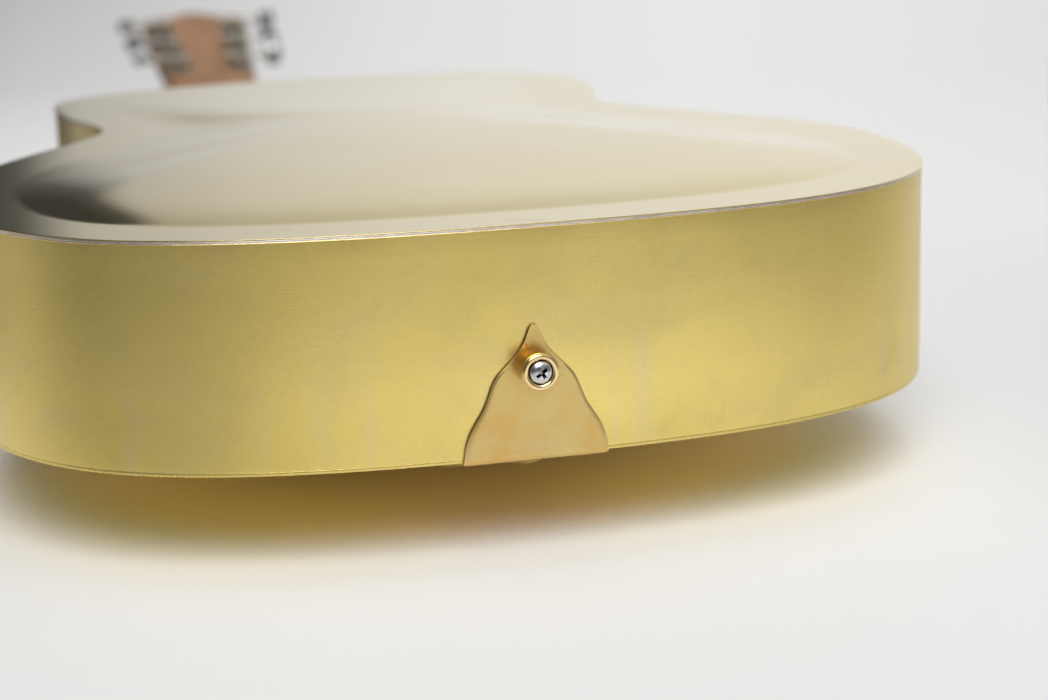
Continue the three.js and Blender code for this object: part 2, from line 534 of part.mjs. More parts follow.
// fold over the edge and string plate, section [y, z]
const FOLD_SECTION = [
  [TAIL_OUT, -4], [TAIL_OUT, -0.6], [-1.2, 0.6], [-0.2, 1.25], [7, 1.25], [20, 6.7], [44, 7.3],
  [48, 6.2], [47.6, 5], [43.8, 6.1], [20.3, 5.5], [7.4, 0.05], [-0.2, 0.05],
  [TAIL_OUT + TAIL_T, -0.2], [TAIL_OUT + TAIL_T, -4]];
// string plate seen from above, half outline [x, y]
const TAIL_PLAN_HALF = [[24.6, -3], [24.6, 6], [26.5, 22], [29.5, 36], [29.5, 44], [26, 49]];
// raised ridge on the centreline: y, height of its top
const RIDGE = [[3.2, 1], [5, 3], [8, 5], [14, 6.6], [22, 7.3]];
// local z points out of the butt, along -Y
const buttFrame = (y, z) => basis(vec(1, 0, 0), vec(0, 0, 1), vec(0, -1, 0), vec(0, y, z));

function ridgeSection([y, top]) {
  const base = y > 7.2 ? Math.min(0.65 + (y - 7.2) * 0.42, 6.2) : 0.65;
  return Array.from({ length: 12 }, (_, i) => {
    const angle = (2 * Math.PI * i) / 12;
    const rise = Math.sin(angle);
    const z = rise >= -1e-6 ? base + (top - base) * Math.max(rise, 0) : base - 0.2;
    return vec(4.8 * Math.cos(angle), y, z);
  });
}
function tailpiece() {
  const bell = plate([...BELL_HALF, ...mirrored(BELL_HALF.slice(1))], [], 0, TAIL_T)
    .applyMatrix4(buttFrame(TAIL_OUT + TAIL_T, 0));
  const plan = plate([...TAIL_PLAN_HALF, ...mirrored(TAIL_PLAN_HALF)], [], -60, 30);
  const fold = solid(sweptAcross(FOLD_SECTION, 40)).intersect(solid(plan));
  const stringHoles = STRING_STEPS.map((step) =>
    rod(1.2, -5, 20, 8).translate(step * TAIL_SPACING, 40.5, 0));
  return cut(union(fold, bell, loft(RIDGE.map(ridgeSection))), ...stringHoles, pinHole(2.4));
}
add('tailpiece', tailpiece(), BRASS);

// ---------------------------------------------------------------- strap button and its screw
const PIN = buttFrame(0, PIN_Z);
const BUTTON_BASE = -TAIL_OUT + 0.05;
add('strap_button', turned([
  [2.3, BUTTON_BASE], [6.3, BUTTON_BASE], [6.3, BUTTON_BASE + 0.9], [5, BUTTON_BASE + 1.7],
  [3.9, BUTTON_BASE + 3.4], [4.3, BUTTON_BASE + 4.9], [5.8, BUTTON_BASE + 5.8], [5.8, 9],
  [5.3, 9.4], [4.3, 9.4], [4.3, 8.5], [2.3, 8.5], [2.3, BUTTON_BASE],
], 20).applyMatrix4(PIN), GOLD);

const screw = turned([
  [0, 10.5], [1.8, 10.4], [3.1, 9.9], [3.7, 8.9], [3.7, 8.55], [1.8, 8.55], [1.8, -18], [0, -21],
], 16).applyMatrix4(PIN);
const crossBar = (halfX, halfZ) =>
  box([-halfX, halfX], [-12, -9.4], [PIN_Z - halfZ, PIN_Z + halfZ]);
add('strap_screw', cut(screw, union(crossBar(2.1, 0.4), crossBar(0.4, 2.1))), STEEL);

// ---------------------------------------------------------------- strings
// path of straight runs, with the tangent averaged at each bend
class Rail extends THREE.Curve {
  constructor(points) {
    super();
    this.points = points;
  }
  getSpacedPoints() {
    return this.points;
  }
  getTangentAt(u) {
    const last = this.points.length - 1;
    const i = Math.round(u * last);
    const sum = vec(0, 0, 0);
    if (i > 0) sum.add(this.points[i].clone().sub(this.points[i - 1]).normalize());
    if (i < last) sum.add(this.points[i + 1].clone().sub(this.points[i]).normalize());
    return sum.normalize();
  }
}
// name, radius, material: low E to high E
const STRINGS = [
  ['6_low_e', 0.67, BRONZE], ['5_a', 0.53, BRONZE], ['4_d', 0.41, BRONZE],
  ['3_g', 0.3, BRONZE], ['2_b', 0.22, PLAIN_STRING], ['1_high_e', 0.2, PLAIN_STRING]];
const POST_HEIGHTS = [3.2, 6, 8];   // string end above the headstock face, by station
STRINGS.forEach(([name, radius, material], i) => {
  const side = i < 3 ? -1 : 1;
  const index = i < 3 ? i : 5 - i;
  const { post } = stations.find((s) => s.side === side && s.index === index);
  const step = STRING_STEPS[i];
  const saddleX = step * SADDLE_SPACING, saddleZ = SADDLE_TOP + radius + 0.06;
  const nutX = step * NUT_SPACING;
  const points = [
    vec(step * TAIL_SPACING, 41.5, 7.3 + 0.25 + radius),
    vec(saddleX, BRIDGE_Y - 2, saddleZ),
    vec(saddleX, BRIDGE_Y + 2, saddleZ),
    neckPoint(nutX, NUT_T + 0.6, NUT_TOP + radius + 0.06),
    neckPoint(nutX, NUT_T + 4.8, NUT_TOP + radius + 0.02),
    vec(post.x - side * (POST_R + 0.45 + radius), post.y - 0.5, POST_HEIGHTS[index])
      .applyMatrix4(HEAD),
  ];
  const section = new THREE.Shape(toVectors(circle(0, 0, radius, 6)));
  add(`string_${name}`, new THREE.ExtrudeGeometry(section, {
    extrudePath: new Rail(points), steps: points.length - 1, bevelEnabled: false,
  }), material);
});

export default group;
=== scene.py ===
"""Brass-bodied resonator guitar with a cone under a coverplate.

Lengths are in mm until a mesh is made. The origin is at the butt, on the centre line, in the
outer face of the top. +Y runs along the neck to the head, +X is the treble side and +Z points
out of the top; the back lies at -BODY_DEPTH.
"""
import math
from types import SimpleNamespace
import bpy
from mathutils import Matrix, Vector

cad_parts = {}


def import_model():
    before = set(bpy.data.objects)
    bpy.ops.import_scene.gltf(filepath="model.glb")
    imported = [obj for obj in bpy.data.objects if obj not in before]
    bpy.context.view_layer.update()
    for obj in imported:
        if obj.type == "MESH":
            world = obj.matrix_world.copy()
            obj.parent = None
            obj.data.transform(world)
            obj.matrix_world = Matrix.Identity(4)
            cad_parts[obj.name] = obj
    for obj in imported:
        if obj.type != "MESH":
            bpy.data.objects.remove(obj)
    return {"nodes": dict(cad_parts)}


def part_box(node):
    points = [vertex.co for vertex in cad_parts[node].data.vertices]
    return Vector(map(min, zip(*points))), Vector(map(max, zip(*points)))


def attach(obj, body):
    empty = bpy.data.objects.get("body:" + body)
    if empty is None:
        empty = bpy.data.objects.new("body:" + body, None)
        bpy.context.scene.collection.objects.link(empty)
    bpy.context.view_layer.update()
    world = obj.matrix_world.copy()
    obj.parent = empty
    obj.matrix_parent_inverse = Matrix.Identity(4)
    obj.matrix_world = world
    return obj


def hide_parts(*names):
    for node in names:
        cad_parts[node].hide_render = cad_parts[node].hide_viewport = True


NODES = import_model()["nodes"]
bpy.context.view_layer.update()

import bpy
import bmesh
from mathutils import Matrix, Vector, noise

MM = 0.001

# ---------------------------------------------------------------- dimensions shared with the CAD
LOWER_HALF, LOWER_Y = 181.103, 143.999      # half width and place of the lower bout
WAIST_HALF, WAIST_Y = 113.731, 300.943
UPPER_HALF, UPPER_Y = 129.466, 397.34
BODY_LEN, BODY_DEPTH = 463.894, 77.597
SHEET, OVERHANG, BACK_CROWN = 1.2, 0.5, 7.2
SCALE, BRIDGE_Y = 635.0, 181.0
WELL_R = 121.0
COVER_R, COVER_T = 135.0, 1.0
REST_TOP, REST_T, REST_HALF_Y = 34.0, 1.6, 19.0
NECK_TILT, HEAD_TILT = math.radians(2.1), math.radians(17.6)
BOARD_T, NUT_W, JOINT_W, FRETS = 6.0, 46.0, 56.6, 19
NUT_T, BOARD_END, NUT_TOP = 352.1, -70.5, 7.3   # along and above the neck frame
NUT_BACK = NUT_T + 5.2                      # where the head frame starts
HEAD_THICK, VENEER, HEAD_LEN = 15.0, 1.5, 176.0
BISCUIT_TOP, BISCUIT_SLOT, SADDLE_TOP = 13.4, 10.4, 23.2
STRING_RADII = [0.67, 0.53, 0.41, 0.3, 0.22, 0.2]   # from bass to treble
TAIL_Y, TAIL_T = -0.9, 1.15                 # outer face and thickness of the tail plate
TAIL_HOLE_Y = 40.5
PIN_X, PIN_Z, PIN_HOLE_R = 0.15, -30.6, 2.4
POST_R, GEAR_R, TEETH = 3.0, 6.1, 14
POST_HOLE_R = POST_R + 0.35
POST_IN, AXIS_GAP = 10.0, 8.3               # post in from the head's edge; worm axis past it
STATIONS = [19.0, 51.0, 83.0]               # tuners along the edge of the head
EDGE_X, EDGE_Y = 30, 55                     # where the straight edge of the head starts
EDGE_LEAN = math.atan2(7.2, 101)            # outward lean of that edge
KNOB_AT = 14.6
SIDE_NAMES = {1: "treble", -1: "bass"}
KNOB_TURN = {1: (20, 75, 50), -1: (65, 10, 85)}     # degrees


# ---------------------------------------------------------------- node helpers
def rgba(color):
    return (*color, 1.0) if isinstance(color, tuple) else (color, color, color, 1.0)


def scaled(color, factor):
    return tuple(factor * c for c in color)


class Nodes:
    """A node tree being put together. Inputs take plain values or sockets."""

    def __init__(self, tree):
        self.tree = tree

    def feed(self, socket, value):
        if isinstance(value, bpy.types.NodeSocket):
            self.tree.links.new(value, socket)
        else:
            socket.default_value = rgba(value) if socket.type == "RGBA" else value

    def node(self, kind, inputs=None, **props):
        made = self.tree.nodes.new(kind)
        for key, value in props.items():
            setattr(made, key, value)
        for key, value in (inputs or {}).items():
            self.feed(made.inputs[key], value)
        return made

    def coords(self, kind="Object", scale=(1, 1, 1), rot=(0, 0, 0), loc=(0, 0, 0)):
        source = self.node("ShaderNodeTexCoord").outputs[kind]
        return self.node("ShaderNodeMapping", {
            "Vector": source, "Scale": scale, "Rotation": rot, "Location": loc}).outputs["Vector"]

    def noise(self, vector, scale, detail=4, rough=0.55, warp=0.0):
        return self.node("ShaderNodeTexNoise", {
            "Vector": vector, "Scale": scale, "Detail": detail, "Roughness": rough,
            "Distortion": warp}).outputs["Fac"]

    def ramp(self, fac, stops):
        """stops: (position, colour or grey level)."""
        made = self.node("ShaderNodeValToRGB", {"Fac": fac})
        elements = made.color_ramp.elements
        while len(elements) > 1:
            elements.remove(elements[-1])
        (position, color), *rest = stops
        elements[0].position = position
        elements[0].color = rgba(color)
        for position, color in rest:
            elements.new(position).color = rgba(color)
        return made.outputs["Color"]

    def mix(self, amount, under, color, blend="MIX"):
        return self.node("ShaderNodeMix", {0: amount, 6: under, 7: color},
                         data_type="RGBA", blend_type=blend).outputs[2]

    def shade(self, color, tone):
        return self.mix(1.0, color, tone, "MULTIPLY")

    def math(self, operation, a, b=0.0):
        return self.node("ShaderNodeMath", {0: a, 1: b}, operation=operation).outputs[0]

    def add(self, a, b):
        return self.math("ADD", a, b)

    def sub(self, a, b):
        return self.math("SUBTRACT", a, b)

    def mul(self, a, b):
        return self.math("MULTIPLY", a, b)

    def vector(self, operation, a, b=None):
        inputs = {0: a} if b is None else {0: a, 1: b}
        made = self.node("ShaderNodeVectorMath", inputs, operation=operation)
        scalar = operation in ("DOT_PRODUCT", "DISTANCE", "LENGTH")
        return made.outputs["Value" if scalar else "Vector"]

    def span(self, value, over, to=(0.0, 1.0)):
        """Map the range `over` onto the range `to`, clamped."""
        inputs = dict(enumerate((value, *over, *to)))
        return self.node("ShaderNodeMapRange", inputs, clamp=True).outputs[0]

    def split(self, vector):
        return self.node("ShaderNodeSeparateXYZ", {0: vector}).outputs

    def ray(self, kind):
        return self.node("ShaderNodeLightPath").outputs[f"Is {kind} Ray"]

    def geometry(self, kind):
        return self.node("ShaderNodeNewGeometry").outputs[kind]

    def bump(self, height, strength, distance, normal=None):
        inputs = {"Strength": strength, "Distance": distance, "Height": height}
        if normal is not None:
            inputs["Normal"] = normal
        return self.node("ShaderNodeBump", inputs).outputs["Normal"]

    def edge_wear(self, radius=0.0006):
        """0 on flat ground, 1 at a convex edge."""
        bevel = self.node("ShaderNodeBevel", {"Radius": radius}, samples=4).outputs["Normal"]
        facing = self.vector("DOT_PRODUCT", self.geometry("Normal"), bevel)
        return self.span(facing, over=(0.995, 0.86))

    def crevice(self, distance):
        """0 in the open, 1 down in a groove or where two pieces meet; the colour it mixes in is
        painted shade.
        """
        made = self.node("ShaderNodeAmbientOcclusion", {"Distance": distance}, samples=6)
        return self.span(made.outputs["AO"], over=(0.80, 0.35))

    def flipped(self):
        """1 when the camera's own up axis points towards -Z, so the guitar lies face down."""
        made = self.node("ShaderNodeVectorTransform", {0: (0, 1, 0)},
                         vector_type="VECTOR", convert_from="CAMERA", convert_to="WORLD")
        return self.math("LESS_THAN", self.split(made.outputs[0])["Z"], 0.0)


class Mat(Nodes):
    """A material being put together round its Principled shader."""

    INPUTS = {"color": "Base Color", "rough": "Roughness", "metal": "Metallic",
              "normal": "Normal", "aniso": "Anisotropic", "coat": "Coat Weight",
              "coat_rough": "Coat Roughness", "spec": "Specular IOR Level",
              "sss": "Subsurface Weight"}

    def __init__(self, name):
        self.material = bpy.data.materials.new(name)
        self.material.use_nodes = True
        super().__init__(self.material.node_tree)
        self.shader = self.tree.nodes["Principled BSDF"]

    def surface(self, **values):
        for key, value in values.items():
            self.feed(self.shader.inputs[self.INPUTS[key]], value)
        return self.material


# ---------------------------------------------------------------- materials
def brass_sides():
    m = Mat("brass_sides")
    p = m.coords()
    place = m.split(p)
    level = m.split(m.coords(kind="UV"))["Y"]
    big = m.noise(p, scale=8.0, detail=3, rough=0.5, warp=0.2)
    mid = m.noise(m.coords(loc=(3.1, 1.7, 0.4)), scale=19, warp=0.3)
    patch = m.noise(m.coords(scale=(1, 1, 1.3), loc=(9.0, 4.0, 1.4)),
                    scale=27, detail=5, rough=0.6, warp=0.4)
    fine = m.noise(m.coords(loc=(7.0, 2.0, 5.0)), scale=120, detail=5, rough=0.65)
    grit = m.noise(m.coords(loc=(1.0, 8.0, 5.0)), scale=900, detail=3, rough=0.6)
    brush = m.noise(m.coords("UV", scale=(14, 640, 1)), scale=4.0, rough=0.65)
    cross = m.noise(m.coords("UV", scale=(260, 24, 1), loc=(0.3, 0, 0)),
                    scale=4.0, detail=3, rough=0.6)
    color = m.ramp(big, [(0.30, (0.715, 0.555, 0.155)), (0.52, (0.80, 0.63, 0.20)),
                         (0.70, (0.835, 0.67, 0.225))])
    # greyish, olive and pinkish patches
    color = m.mix(m.span(patch, over=(0.50, 0.78), to=(0, 0.55)), color,
                  color=(0.70, 0.555, 0.255)) if False else m.mix(
        m.span(patch, over=(0.50, 0.78), to=(0, 0.55)), color, (0.70, 0.555, 0.255))
    color = m.mix(m.span(mid, over=(0.54, 0.80), to=(0, 0.30)), color, (0.58, 0.48, 0.17))
    color = m.mix(m.span(fine, over=(0.56, 0.82), to=(0, 0.34)), color, (0.72, 0.50, 0.26))
    # pale streaks drawn along the depth of the wall, strongest near the top plate
    streak = m.noise(m.coords("UV", scale=(30, 2.6, 1), loc=(0.11, 0.3, 0)), scale=3.0)
    wash = m.mul(m.span(streak, over=(0.56, 0.72)), m.span(level, over=(-0.055, -0.006)))
    color = m.mix(m.mul(wash, 0.60), color, (0.70, 0.58, 0.36))
    # painted shade: a darker band on the wall under the back's overhanging rim, and brown stains
    # by the top plate
    shade_under_back_rim = m.mul(m.span(place["Z"], over=(-0.0690, -0.0755)),
                   m.span(mid, over=(0.35, 0.65), to=(0.3, 1.0)))
    color = m.mix(m.mul(shade_under_back_rim, 0.45), color, (0.56, 0.42, 0.13))
    dark = m.noise(m.coords(loc=(11.0, 0.3, 2.0)), scale=40, rough=0.6, warp=0.3)
    stain = m.mul(m.span(dark, over=(0.56, 0.76)), m.span(level, over=(-0.040, -0.006)))
    color = m.mix(m.mul(stain, 0.30), color, (0.52, 0.36, 0.13))
    # brushing and grain carried as slight tone changes, with painted shade and light by height
    grain_and_shade = m.add(m.span(brush, over=(0.25, 0.75), to=(0.965, 1.02)),
                  m.span(cross, over=(0.3, 0.7), to=(-0.010, 0.010)))
    grain_and_shade = m.mul(grain_and_shade, m.span(grit, over=(0.25, 0.75), to=(0.965, 1.025)))
    # painted shade and light: the wall darker towards the back and lighter towards the top plate,
    # where the table's light falls
    grain_and_shade = m.mul(grain_and_shade, m.span(place["Z"], over=(-0.060, -0.024), to=(0.885, 1.035)))
    color = m.shade(color, grain_and_shade)
    # scattered dark pits: only the cells with a high random value keep theirs
    cells = m.node("ShaderNodeTexVoronoi", {"Vector": p, "Scale": 62}, feature="F1").outputs
    pick = m.node("ShaderNodeTexWhiteNoise", {"Vector": cells["Position"]}).outputs["Value"]
    pit = m.mul(m.span(cells["Distance"], over=(0.012, 0.034), to=(1, 0)),
                m.span(pick, over=(0.90, 0.91)))
    color = m.mix(m.mul(pit, 0.7), color, (0.20, 0.12, 0.05))
    # grime and painted shade: darker, browner in the joints and grooves away from the top plate
    grime_and_shade = m.mul(m.crevice(distance=0.0009), m.span(place["Z"], over=(-0.003, -0.006)))
    color = m.mix(m.mul(grime_and_shade, 0.75), color, (0.42, 0.24, 0.06))
    # dulled patch on the treble side below the upper bout
    dull = m.mul(m.span(place["Y"], over=(0.318, 0.345)), m.span(place["Y"], over=(0.395, 0.365)))
    dull = m.mul(dull, m.span(place["X"], over=(0.098, 0.116)))
    dull = m.mul(dull, m.span(patch, over=(0.3, 0.6), to=(0.25, 0.45)))
    color = m.mix(dull, color, (0.90, 0.77, 0.56))
    # light thrown onto the table is softened
    color = m.mix(m.ray("Diffuse"), color, (0.66, 0.625, 0.54))
    rough = m.add(m.span(mid, over=(0.3, 0.8), to=(0.27, 0.37)),
                  m.span(brush, over=(0.3, 0.7), to=(-0.03, 0.03)))
    wave = m.noise(m.coords(scale=(1, 1, 0.45), loc=(2, 5, 1)), scale=9, detail=2, rough=0.5)
    normal = m.bump(wave, strength=0.35, distance=0.0012)
    normal = m.bump(brush, strength=0.12, distance=0.00012, normal=normal)
    normal = m.bump(fine, strength=0.10, distance=0.00030, normal=normal)
    normal = m.bump(pit, strength=0.5, distance=-0.00015, normal=normal)
    return m.surface(color=color, rough=rough, metal=1.0, normal=normal, aniso=0.35)


def brass_back():
    m = Mat("brass_back")
    p = m.coords()
    place = m.split(p)
    haze = m.noise(p, scale=9, warp=0.6)
    smear = m.noise(m.coords(scale=(1, 0.35, 1), loc=(4, 1, 0)),
                    scale=26, detail=5, rough=0.65, warp=0.5)
    stain = m.noise(m.coords(loc=(1.3, 6.2, 0)), scale=34, detail=6, rough=0.7, warp=1.0)
    color = m.ramp(haze, [(0.3, (0.77, 0.645, 0.34)), (0.55, (0.80, 0.685, 0.38)),
                          (0.75, (0.82, 0.715, 0.42))])
    # stains by the butt, fainter ones all over, paler towards the neck, dark rim
    butt = m.mul(m.span(stain, over=(0.58, 0.74)), m.span(place["Y"], over=(0.06, 0.01)))
    color = m.mix(m.mul(butt, 0.45), color, (0.55, 0.38, 0.19))
    color = m.mix(m.span(stain, over=(0.66, 0.80), to=(0, 0.16)), color, (0.55, 0.42, 0.24))
    color = m.mix(m.span(place["Y"], over=(0.06, 0.28), to=(0, 0.34)), color, (0.88, 0.81, 0.62))
    rim = m.span(place["Z"], over=(-0.07758, -0.07748))
    color = m.mix(m.mul(rim, 0.85), color, (0.52, 0.38, 0.17))
    rough = m.add(m.span(smear, over=(0.35, 0.75), to=(0.055, 0.125)),
                  m.span(haze, over=(0.4, 0.8), to=(0.0, 0.035)))
    hair = m.noise(m.coords(scale=(30, 900, 1), rot=(0, 0, 0.25)),
                   scale=3.0, detail=2, rough=0.5)
    wave = m.noise(m.coords(loc=(0, 9, 3)), scale=6.5, detail=2, rough=0.45)
    normal = m.bump(wave, strength=0.28, distance=0.0011)
    normal = m.bump(hair, strength=0.05, distance=0.00006, normal=normal)
    return m.surface(color=color, rough=rough, metal=1.0, normal=normal)


def brass_plain(name, tones, rough, brushing, bump, stain, rim=None, bounce=None, gap=0.0006):
    """tones: dark, middle and light; brushing: noise scale along x, y, z;
    rim: colour of upright faces; bounce: colour seen by diffuse rays."""
    m = Mat(name)
    big = m.noise(m.coords(), scale=30, warp=0.5)
    spots = m.noise(m.coords(loc=(5, 5, 5)), scale=110, detail=5, rough=0.65, warp=0.6)
    color = m.ramp(big, zip((0.30, 0.52, 0.72), tones))
    color = m.mix(m.span(spots, over=(0.62, 0.78), to=(0, stain)), color, scaled(tones[1], 0.62))
    color = m.mix(m.mul(m.edge_wear(), 0.5), color, (0.93, 0.78, 0.40))
    # grime and painted shade: darker where the brass meets other parts and down in grooves
    grime_and_shade = tuple(k * c for k, c in zip((0.34, 0.24, 0.16), tones[1]))
    color = m.mix(m.mul(m.crevice(gap), 0.7), color, grime_and_shade)
    brush = m.noise(m.coords(scale=brushing), scale=3.0, detail=3, rough=0.6)
    color = m.shade(color, m.span(brush, over=(0.25, 0.75), to=(0.95, 1.03)))
    if rim:
        facing = m.math("ABSOLUTE", m.split(m.geometry("True Normal"))["Z"])
        color = m.mix(m.span(facing, over=(0.85, 0.45)), color, rim)
    if bounce:
        # light thrown back between the brass and the table picks up its colour twice
        color = m.mix(m.ray("Diffuse"), color, bounce)
    rough = m.add(m.span(big, over=(0.3, 0.7), to=(rough - 0.04, rough + 0.06)),
                  m.span(brush, over=(0.3, 0.7), to=(-0.03, 0.03)))
    return m.surface(color=color, rough=rough, metal=1.0, aniso=0.2,
                     normal=m.bump(brush, strength=bump, distance=0.0001))


def bracket_brass():
    """Brushed across, with painted shade round the button, and orange and pale blotches near the
    fold.
    """
    m = Mat("brass_bracket")
    shade_round_button_at = (0.0005, TAIL_Y * MM, -31.8 * MM)
    p = m.coords()
    height = m.split(p)["Z"]
    big = m.noise(p, scale=55, detail=3, rough=0.5, warp=0.3)
    blotch = m.noise(m.coords(loc=(5.2, 5.1, 5.9)), scale=95, detail=3, rough=0.5, warp=0.3)
    color = m.ramp(big, [(0.30, (0.665, 0.475, 0.167)), (0.52, (0.700, 0.517, 0.200)),
                         (0.72, (0.725, 0.555, 0.238))])
    orange = m.mul(m.span(blotch, over=(0.46, 0.66), to=(0, 0.75)),
                   m.span(height, over=(-0.026, -0.010)))
    color = m.mix(orange, color, (0.690, 0.435, 0.125))
    pale = m.noise(m.coords(loc=(1.2, 2.1, 7.9)), scale=80, detail=3, rough=0.5)
    pale = m.mul(m.span(pale, over=(0.52, 0.72), to=(0, 0.55)),
                 m.span(height, over=(-0.018, -0.004)))
    color = m.mix(pale, color, (0.715, 0.580, 0.315))
    # painted shade: darker and browner round the button
    near = m.span(m.vector("DISTANCE", p, shade_round_button_at), over=(0.0125, 0.0055))
    color = m.mix(m.mul(near, 0.48), color, (0.54, 0.37, 0.11))
    color = m.mix(m.mul(m.edge_wear(0.0005), 0.55), color, (0.93, 0.78, 0.45))
    # grime and painted shade: darker, browner in the joints round the bracket
    color = m.mix(m.mul(m.crevice(0.0005), 0.7), color, (0.30, 0.18, 0.05))
    brush = m.noise(m.coords(scale=(10, 420, 900)), scale=3.0, detail=3, rough=0.6)
    color = m.shade(color, m.span(brush, over=(0.25, 0.75), to=(0.955, 1.025)))
    rough = m.add(m.span(big, over=(0.3, 0.7), to=(0.30, 0.38)),
                  m.span(brush, over=(0.3, 0.7), to=(-0.03, 0.03)))
    return m.surface(color=color, rough=rough, metal=1.0, aniso=0.2,
                     normal=m.bump(brush, strength=0.12, distance=0.0001))


def grey_metal(name, tone, rough, grime_and_shade=(0.18, 0.16, 0.13), amount=0.35,
               edge=(0.86, 0.85, 0.80), gap=0.0008):
    """grime: colour of the dirt and `amount` its strength; gap: reach of the painted shade in
    grooves and joints.
    """
    m = Mat(name)
    cloud = m.noise(m.coords(), scale=120, rough=0.6, warp=0.4)
    speck = m.noise(m.coords(loc=(2, 3, 4)), scale=420, rough=0.65)
    light = tuple(min(1, 1.12 * c) for c in tone)
    color = m.ramp(cloud, [(0.3, scaled(tone, 0.88)), (0.55, tone), (0.75, light)])
    color = m.mix(m.span(speck, over=(0.58, 0.78), to=(0, amount)), color, grime_and_shade)
    color = m.mix(m.mul(m.edge_wear(0.0004), 0.45), color, edge)
    # painted shade: near black down in grooves, slots and joints
    color = m.mix(m.mul(m.crevice(gap), 0.95), color, (0.030, 0.020, 0.014))
    rough = m.add(m.span(cloud, over=(0.3, 0.75), to=(rough - 0.05, rough + 0.10)),
                  m.span(speck, over=(0.4, 0.8), to=(0, 0.07)))
    return m.surface(color=color, rough=rough, metal=1.0,
                     normal=m.bump(speck, strength=0.12, distance=0.00008))


def wood(name, tones, grain=(1, 0.045, 1), scale=70, rough=0.42, coat=0.25, pores=0.35):
    """tones: dark, middle and light; grain: noise stretch, long where the number is small."""
    m = Mat(name)
    dark, mid, light = tones
    ring = m.noise(m.coords(scale=grain), scale=scale, detail=5, rough=0.6, warp=1.4)
    fibre = m.noise(m.coords(scale=(grain[0] * 6, grain[1] * 1.4, grain[2] * 6)),
                    scale=scale * 2.2, detail=5, rough=0.7)
    blotch = m.noise(m.coords(loc=(1, 2, 3)), scale=16, detail=3, rough=0.5)
    color = m.ramp(ring, zip((0.28, 0.50, 0.72), tones))
    color = m.mix(m.span(fibre, over=(0.52, 0.74), to=(0, pores)), color, scaled(dark, 0.45))
    color = m.mix(m.span(blotch, over=(0.35, 0.75), to=(0, 0.28)), color, scaled(mid, 0.8))
    color = m.mix(m.mul(m.edge_wear(0.0007), 0.25), color, light)
    rough = m.add(m.span(fibre, over=(0.3, 0.8), to=(rough - 0.05, rough + 0.12)),
                  m.span(blotch, over=(0.3, 0.7), to=(-0.03, 0.03)))
    return m.surface(color=color, rough=rough, metal=0.0, coat=coat, coat_rough=0.22, spec=0.45,
                     normal=m.bump(fibre, strength=0.22, distance=0.00016))


def bone():
    m = Mat("bone_nut")
    cloud = m.noise(m.coords(scale=(0.3, 1, 1)), scale=160, rough=0.6, warp=0.5)
    color = m.ramp(cloud, [(0.3, (0.74, 0.66, 0.50)), (0.55, (0.82, 0.76, 0.62)),
                           (0.75, (0.87, 0.82, 0.70))])
    fine = m.noise(m.coords(scale=(0.25, 1, 1)), scale=700, detail=3, rough=0.6)
    return m.surface(color=color, rough=m.span(fine, over=(0.3, 0.7), to=(0.30, 0.42)),
                     metal=0.0, normal=m.bump(fine, strength=0.15, distance=0.00006),
                     sss=0.08, spec=0.5)


def pearl():
    m = Mat("pearl_dot")
    cloud = m.noise(m.coords(), scale=330, rough=0.6, warp=1.6)
    color = m.ramp(cloud, [(0.3, (0.62, 0.64, 0.60)), (0.5, (0.80, 0.79, 0.74)),
                           (0.7, (0.72, 0.76, 0.80))])
    return m.surface(color=color, rough=m.span(cloud, over=(0.3, 0.7), to=(0.12, 0.22)),
                     metal=0.0, normal=m.bump(cloud, strength=0.08, distance=0.00005),
                     coat=0.5, coat_rough=0.1)


def wire(name, dark, light, rough, pitch):
    """Striped along u, which runs along the string in metres, once per pitch."""
    m = Mat(name)
    along = m.split(m.coords("UV"))["X"]
    turn = m.math("SINE", m.mul(along, 2 * math.pi / pitch))
    cloud = m.noise(m.coords("UV", scale=(60, 1, 1)), scale=2.0, rough=0.6)
    color = m.mix(m.span(turn, over=(-1, 0.6)), dark, light)
    color = m.mix(m.span(cloud, over=(0.45, 0.75), to=(0, 0.4)), color, scaled(light, 0.55))
    rough = m.span(cloud, over=(0.3, 0.7), to=(rough - 0.05, rough + 0.1))
    return m.surface(color=color, rough=rough, metal=1.0,
                     normal=m.bump(turn, strength=0.4, distance=0.00006))


def solder():
    m = Mat("solder_line")
    cloud = m.noise(m.coords(), scale=150, detail=5, rough=0.65, warp=0.8)
    fine = m.noise(m.coords(loc=(1, 1, 9)), scale=520, rough=0.6)
    color = m.ramp(cloud, [(0.30, (0.52, 0.48, 0.44)), (0.50, (0.66, 0.63, 0.62)),
                           (0.72, (0.76, 0.73, 0.72))])
    return m.surface(color=color, rough=m.span(fine, over=(0.3, 0.7), to=(0.30, 0.46)),
                     metal=1.0, normal=m.bump(fine, strength=0.25, distance=0.00012))


def spun():
    m = Mat("spun_aluminium")
    groove_pitch = 0.0016
    position = m.node("ShaderNodeTexCoord").outputs["Object"]
    from_axis = m.vector("SUBTRACT", position, (0, BRIDGE_Y * MM, 0))
    radius = m.vector("LENGTH", m.vector("MULTIPLY", from_axis, (1, 1, 0)))
    groove = m.math("SINE", m.mul(radius, 2 * math.pi / groove_pitch))
    cloud = m.noise(m.coords(), scale=60, rough=0.6)
    color = m.mix(m.span(groove, over=(-1, 1), to=(0, 0.35)),
                  (0.72, 0.73, 0.74), (0.52, 0.53, 0.54))
    color = m.mix(m.span(cloud, over=(0.5, 0.75), to=(0, 0.3)), color, (0.42, 0.42, 0.41))
    return m.surface(color=color, rough=m.span(cloud, over=(0.3, 0.7), to=(0.28, 0.42)),
                     metal=1.0, normal=m.bump(groove, strength=0.25, distance=0.00012))


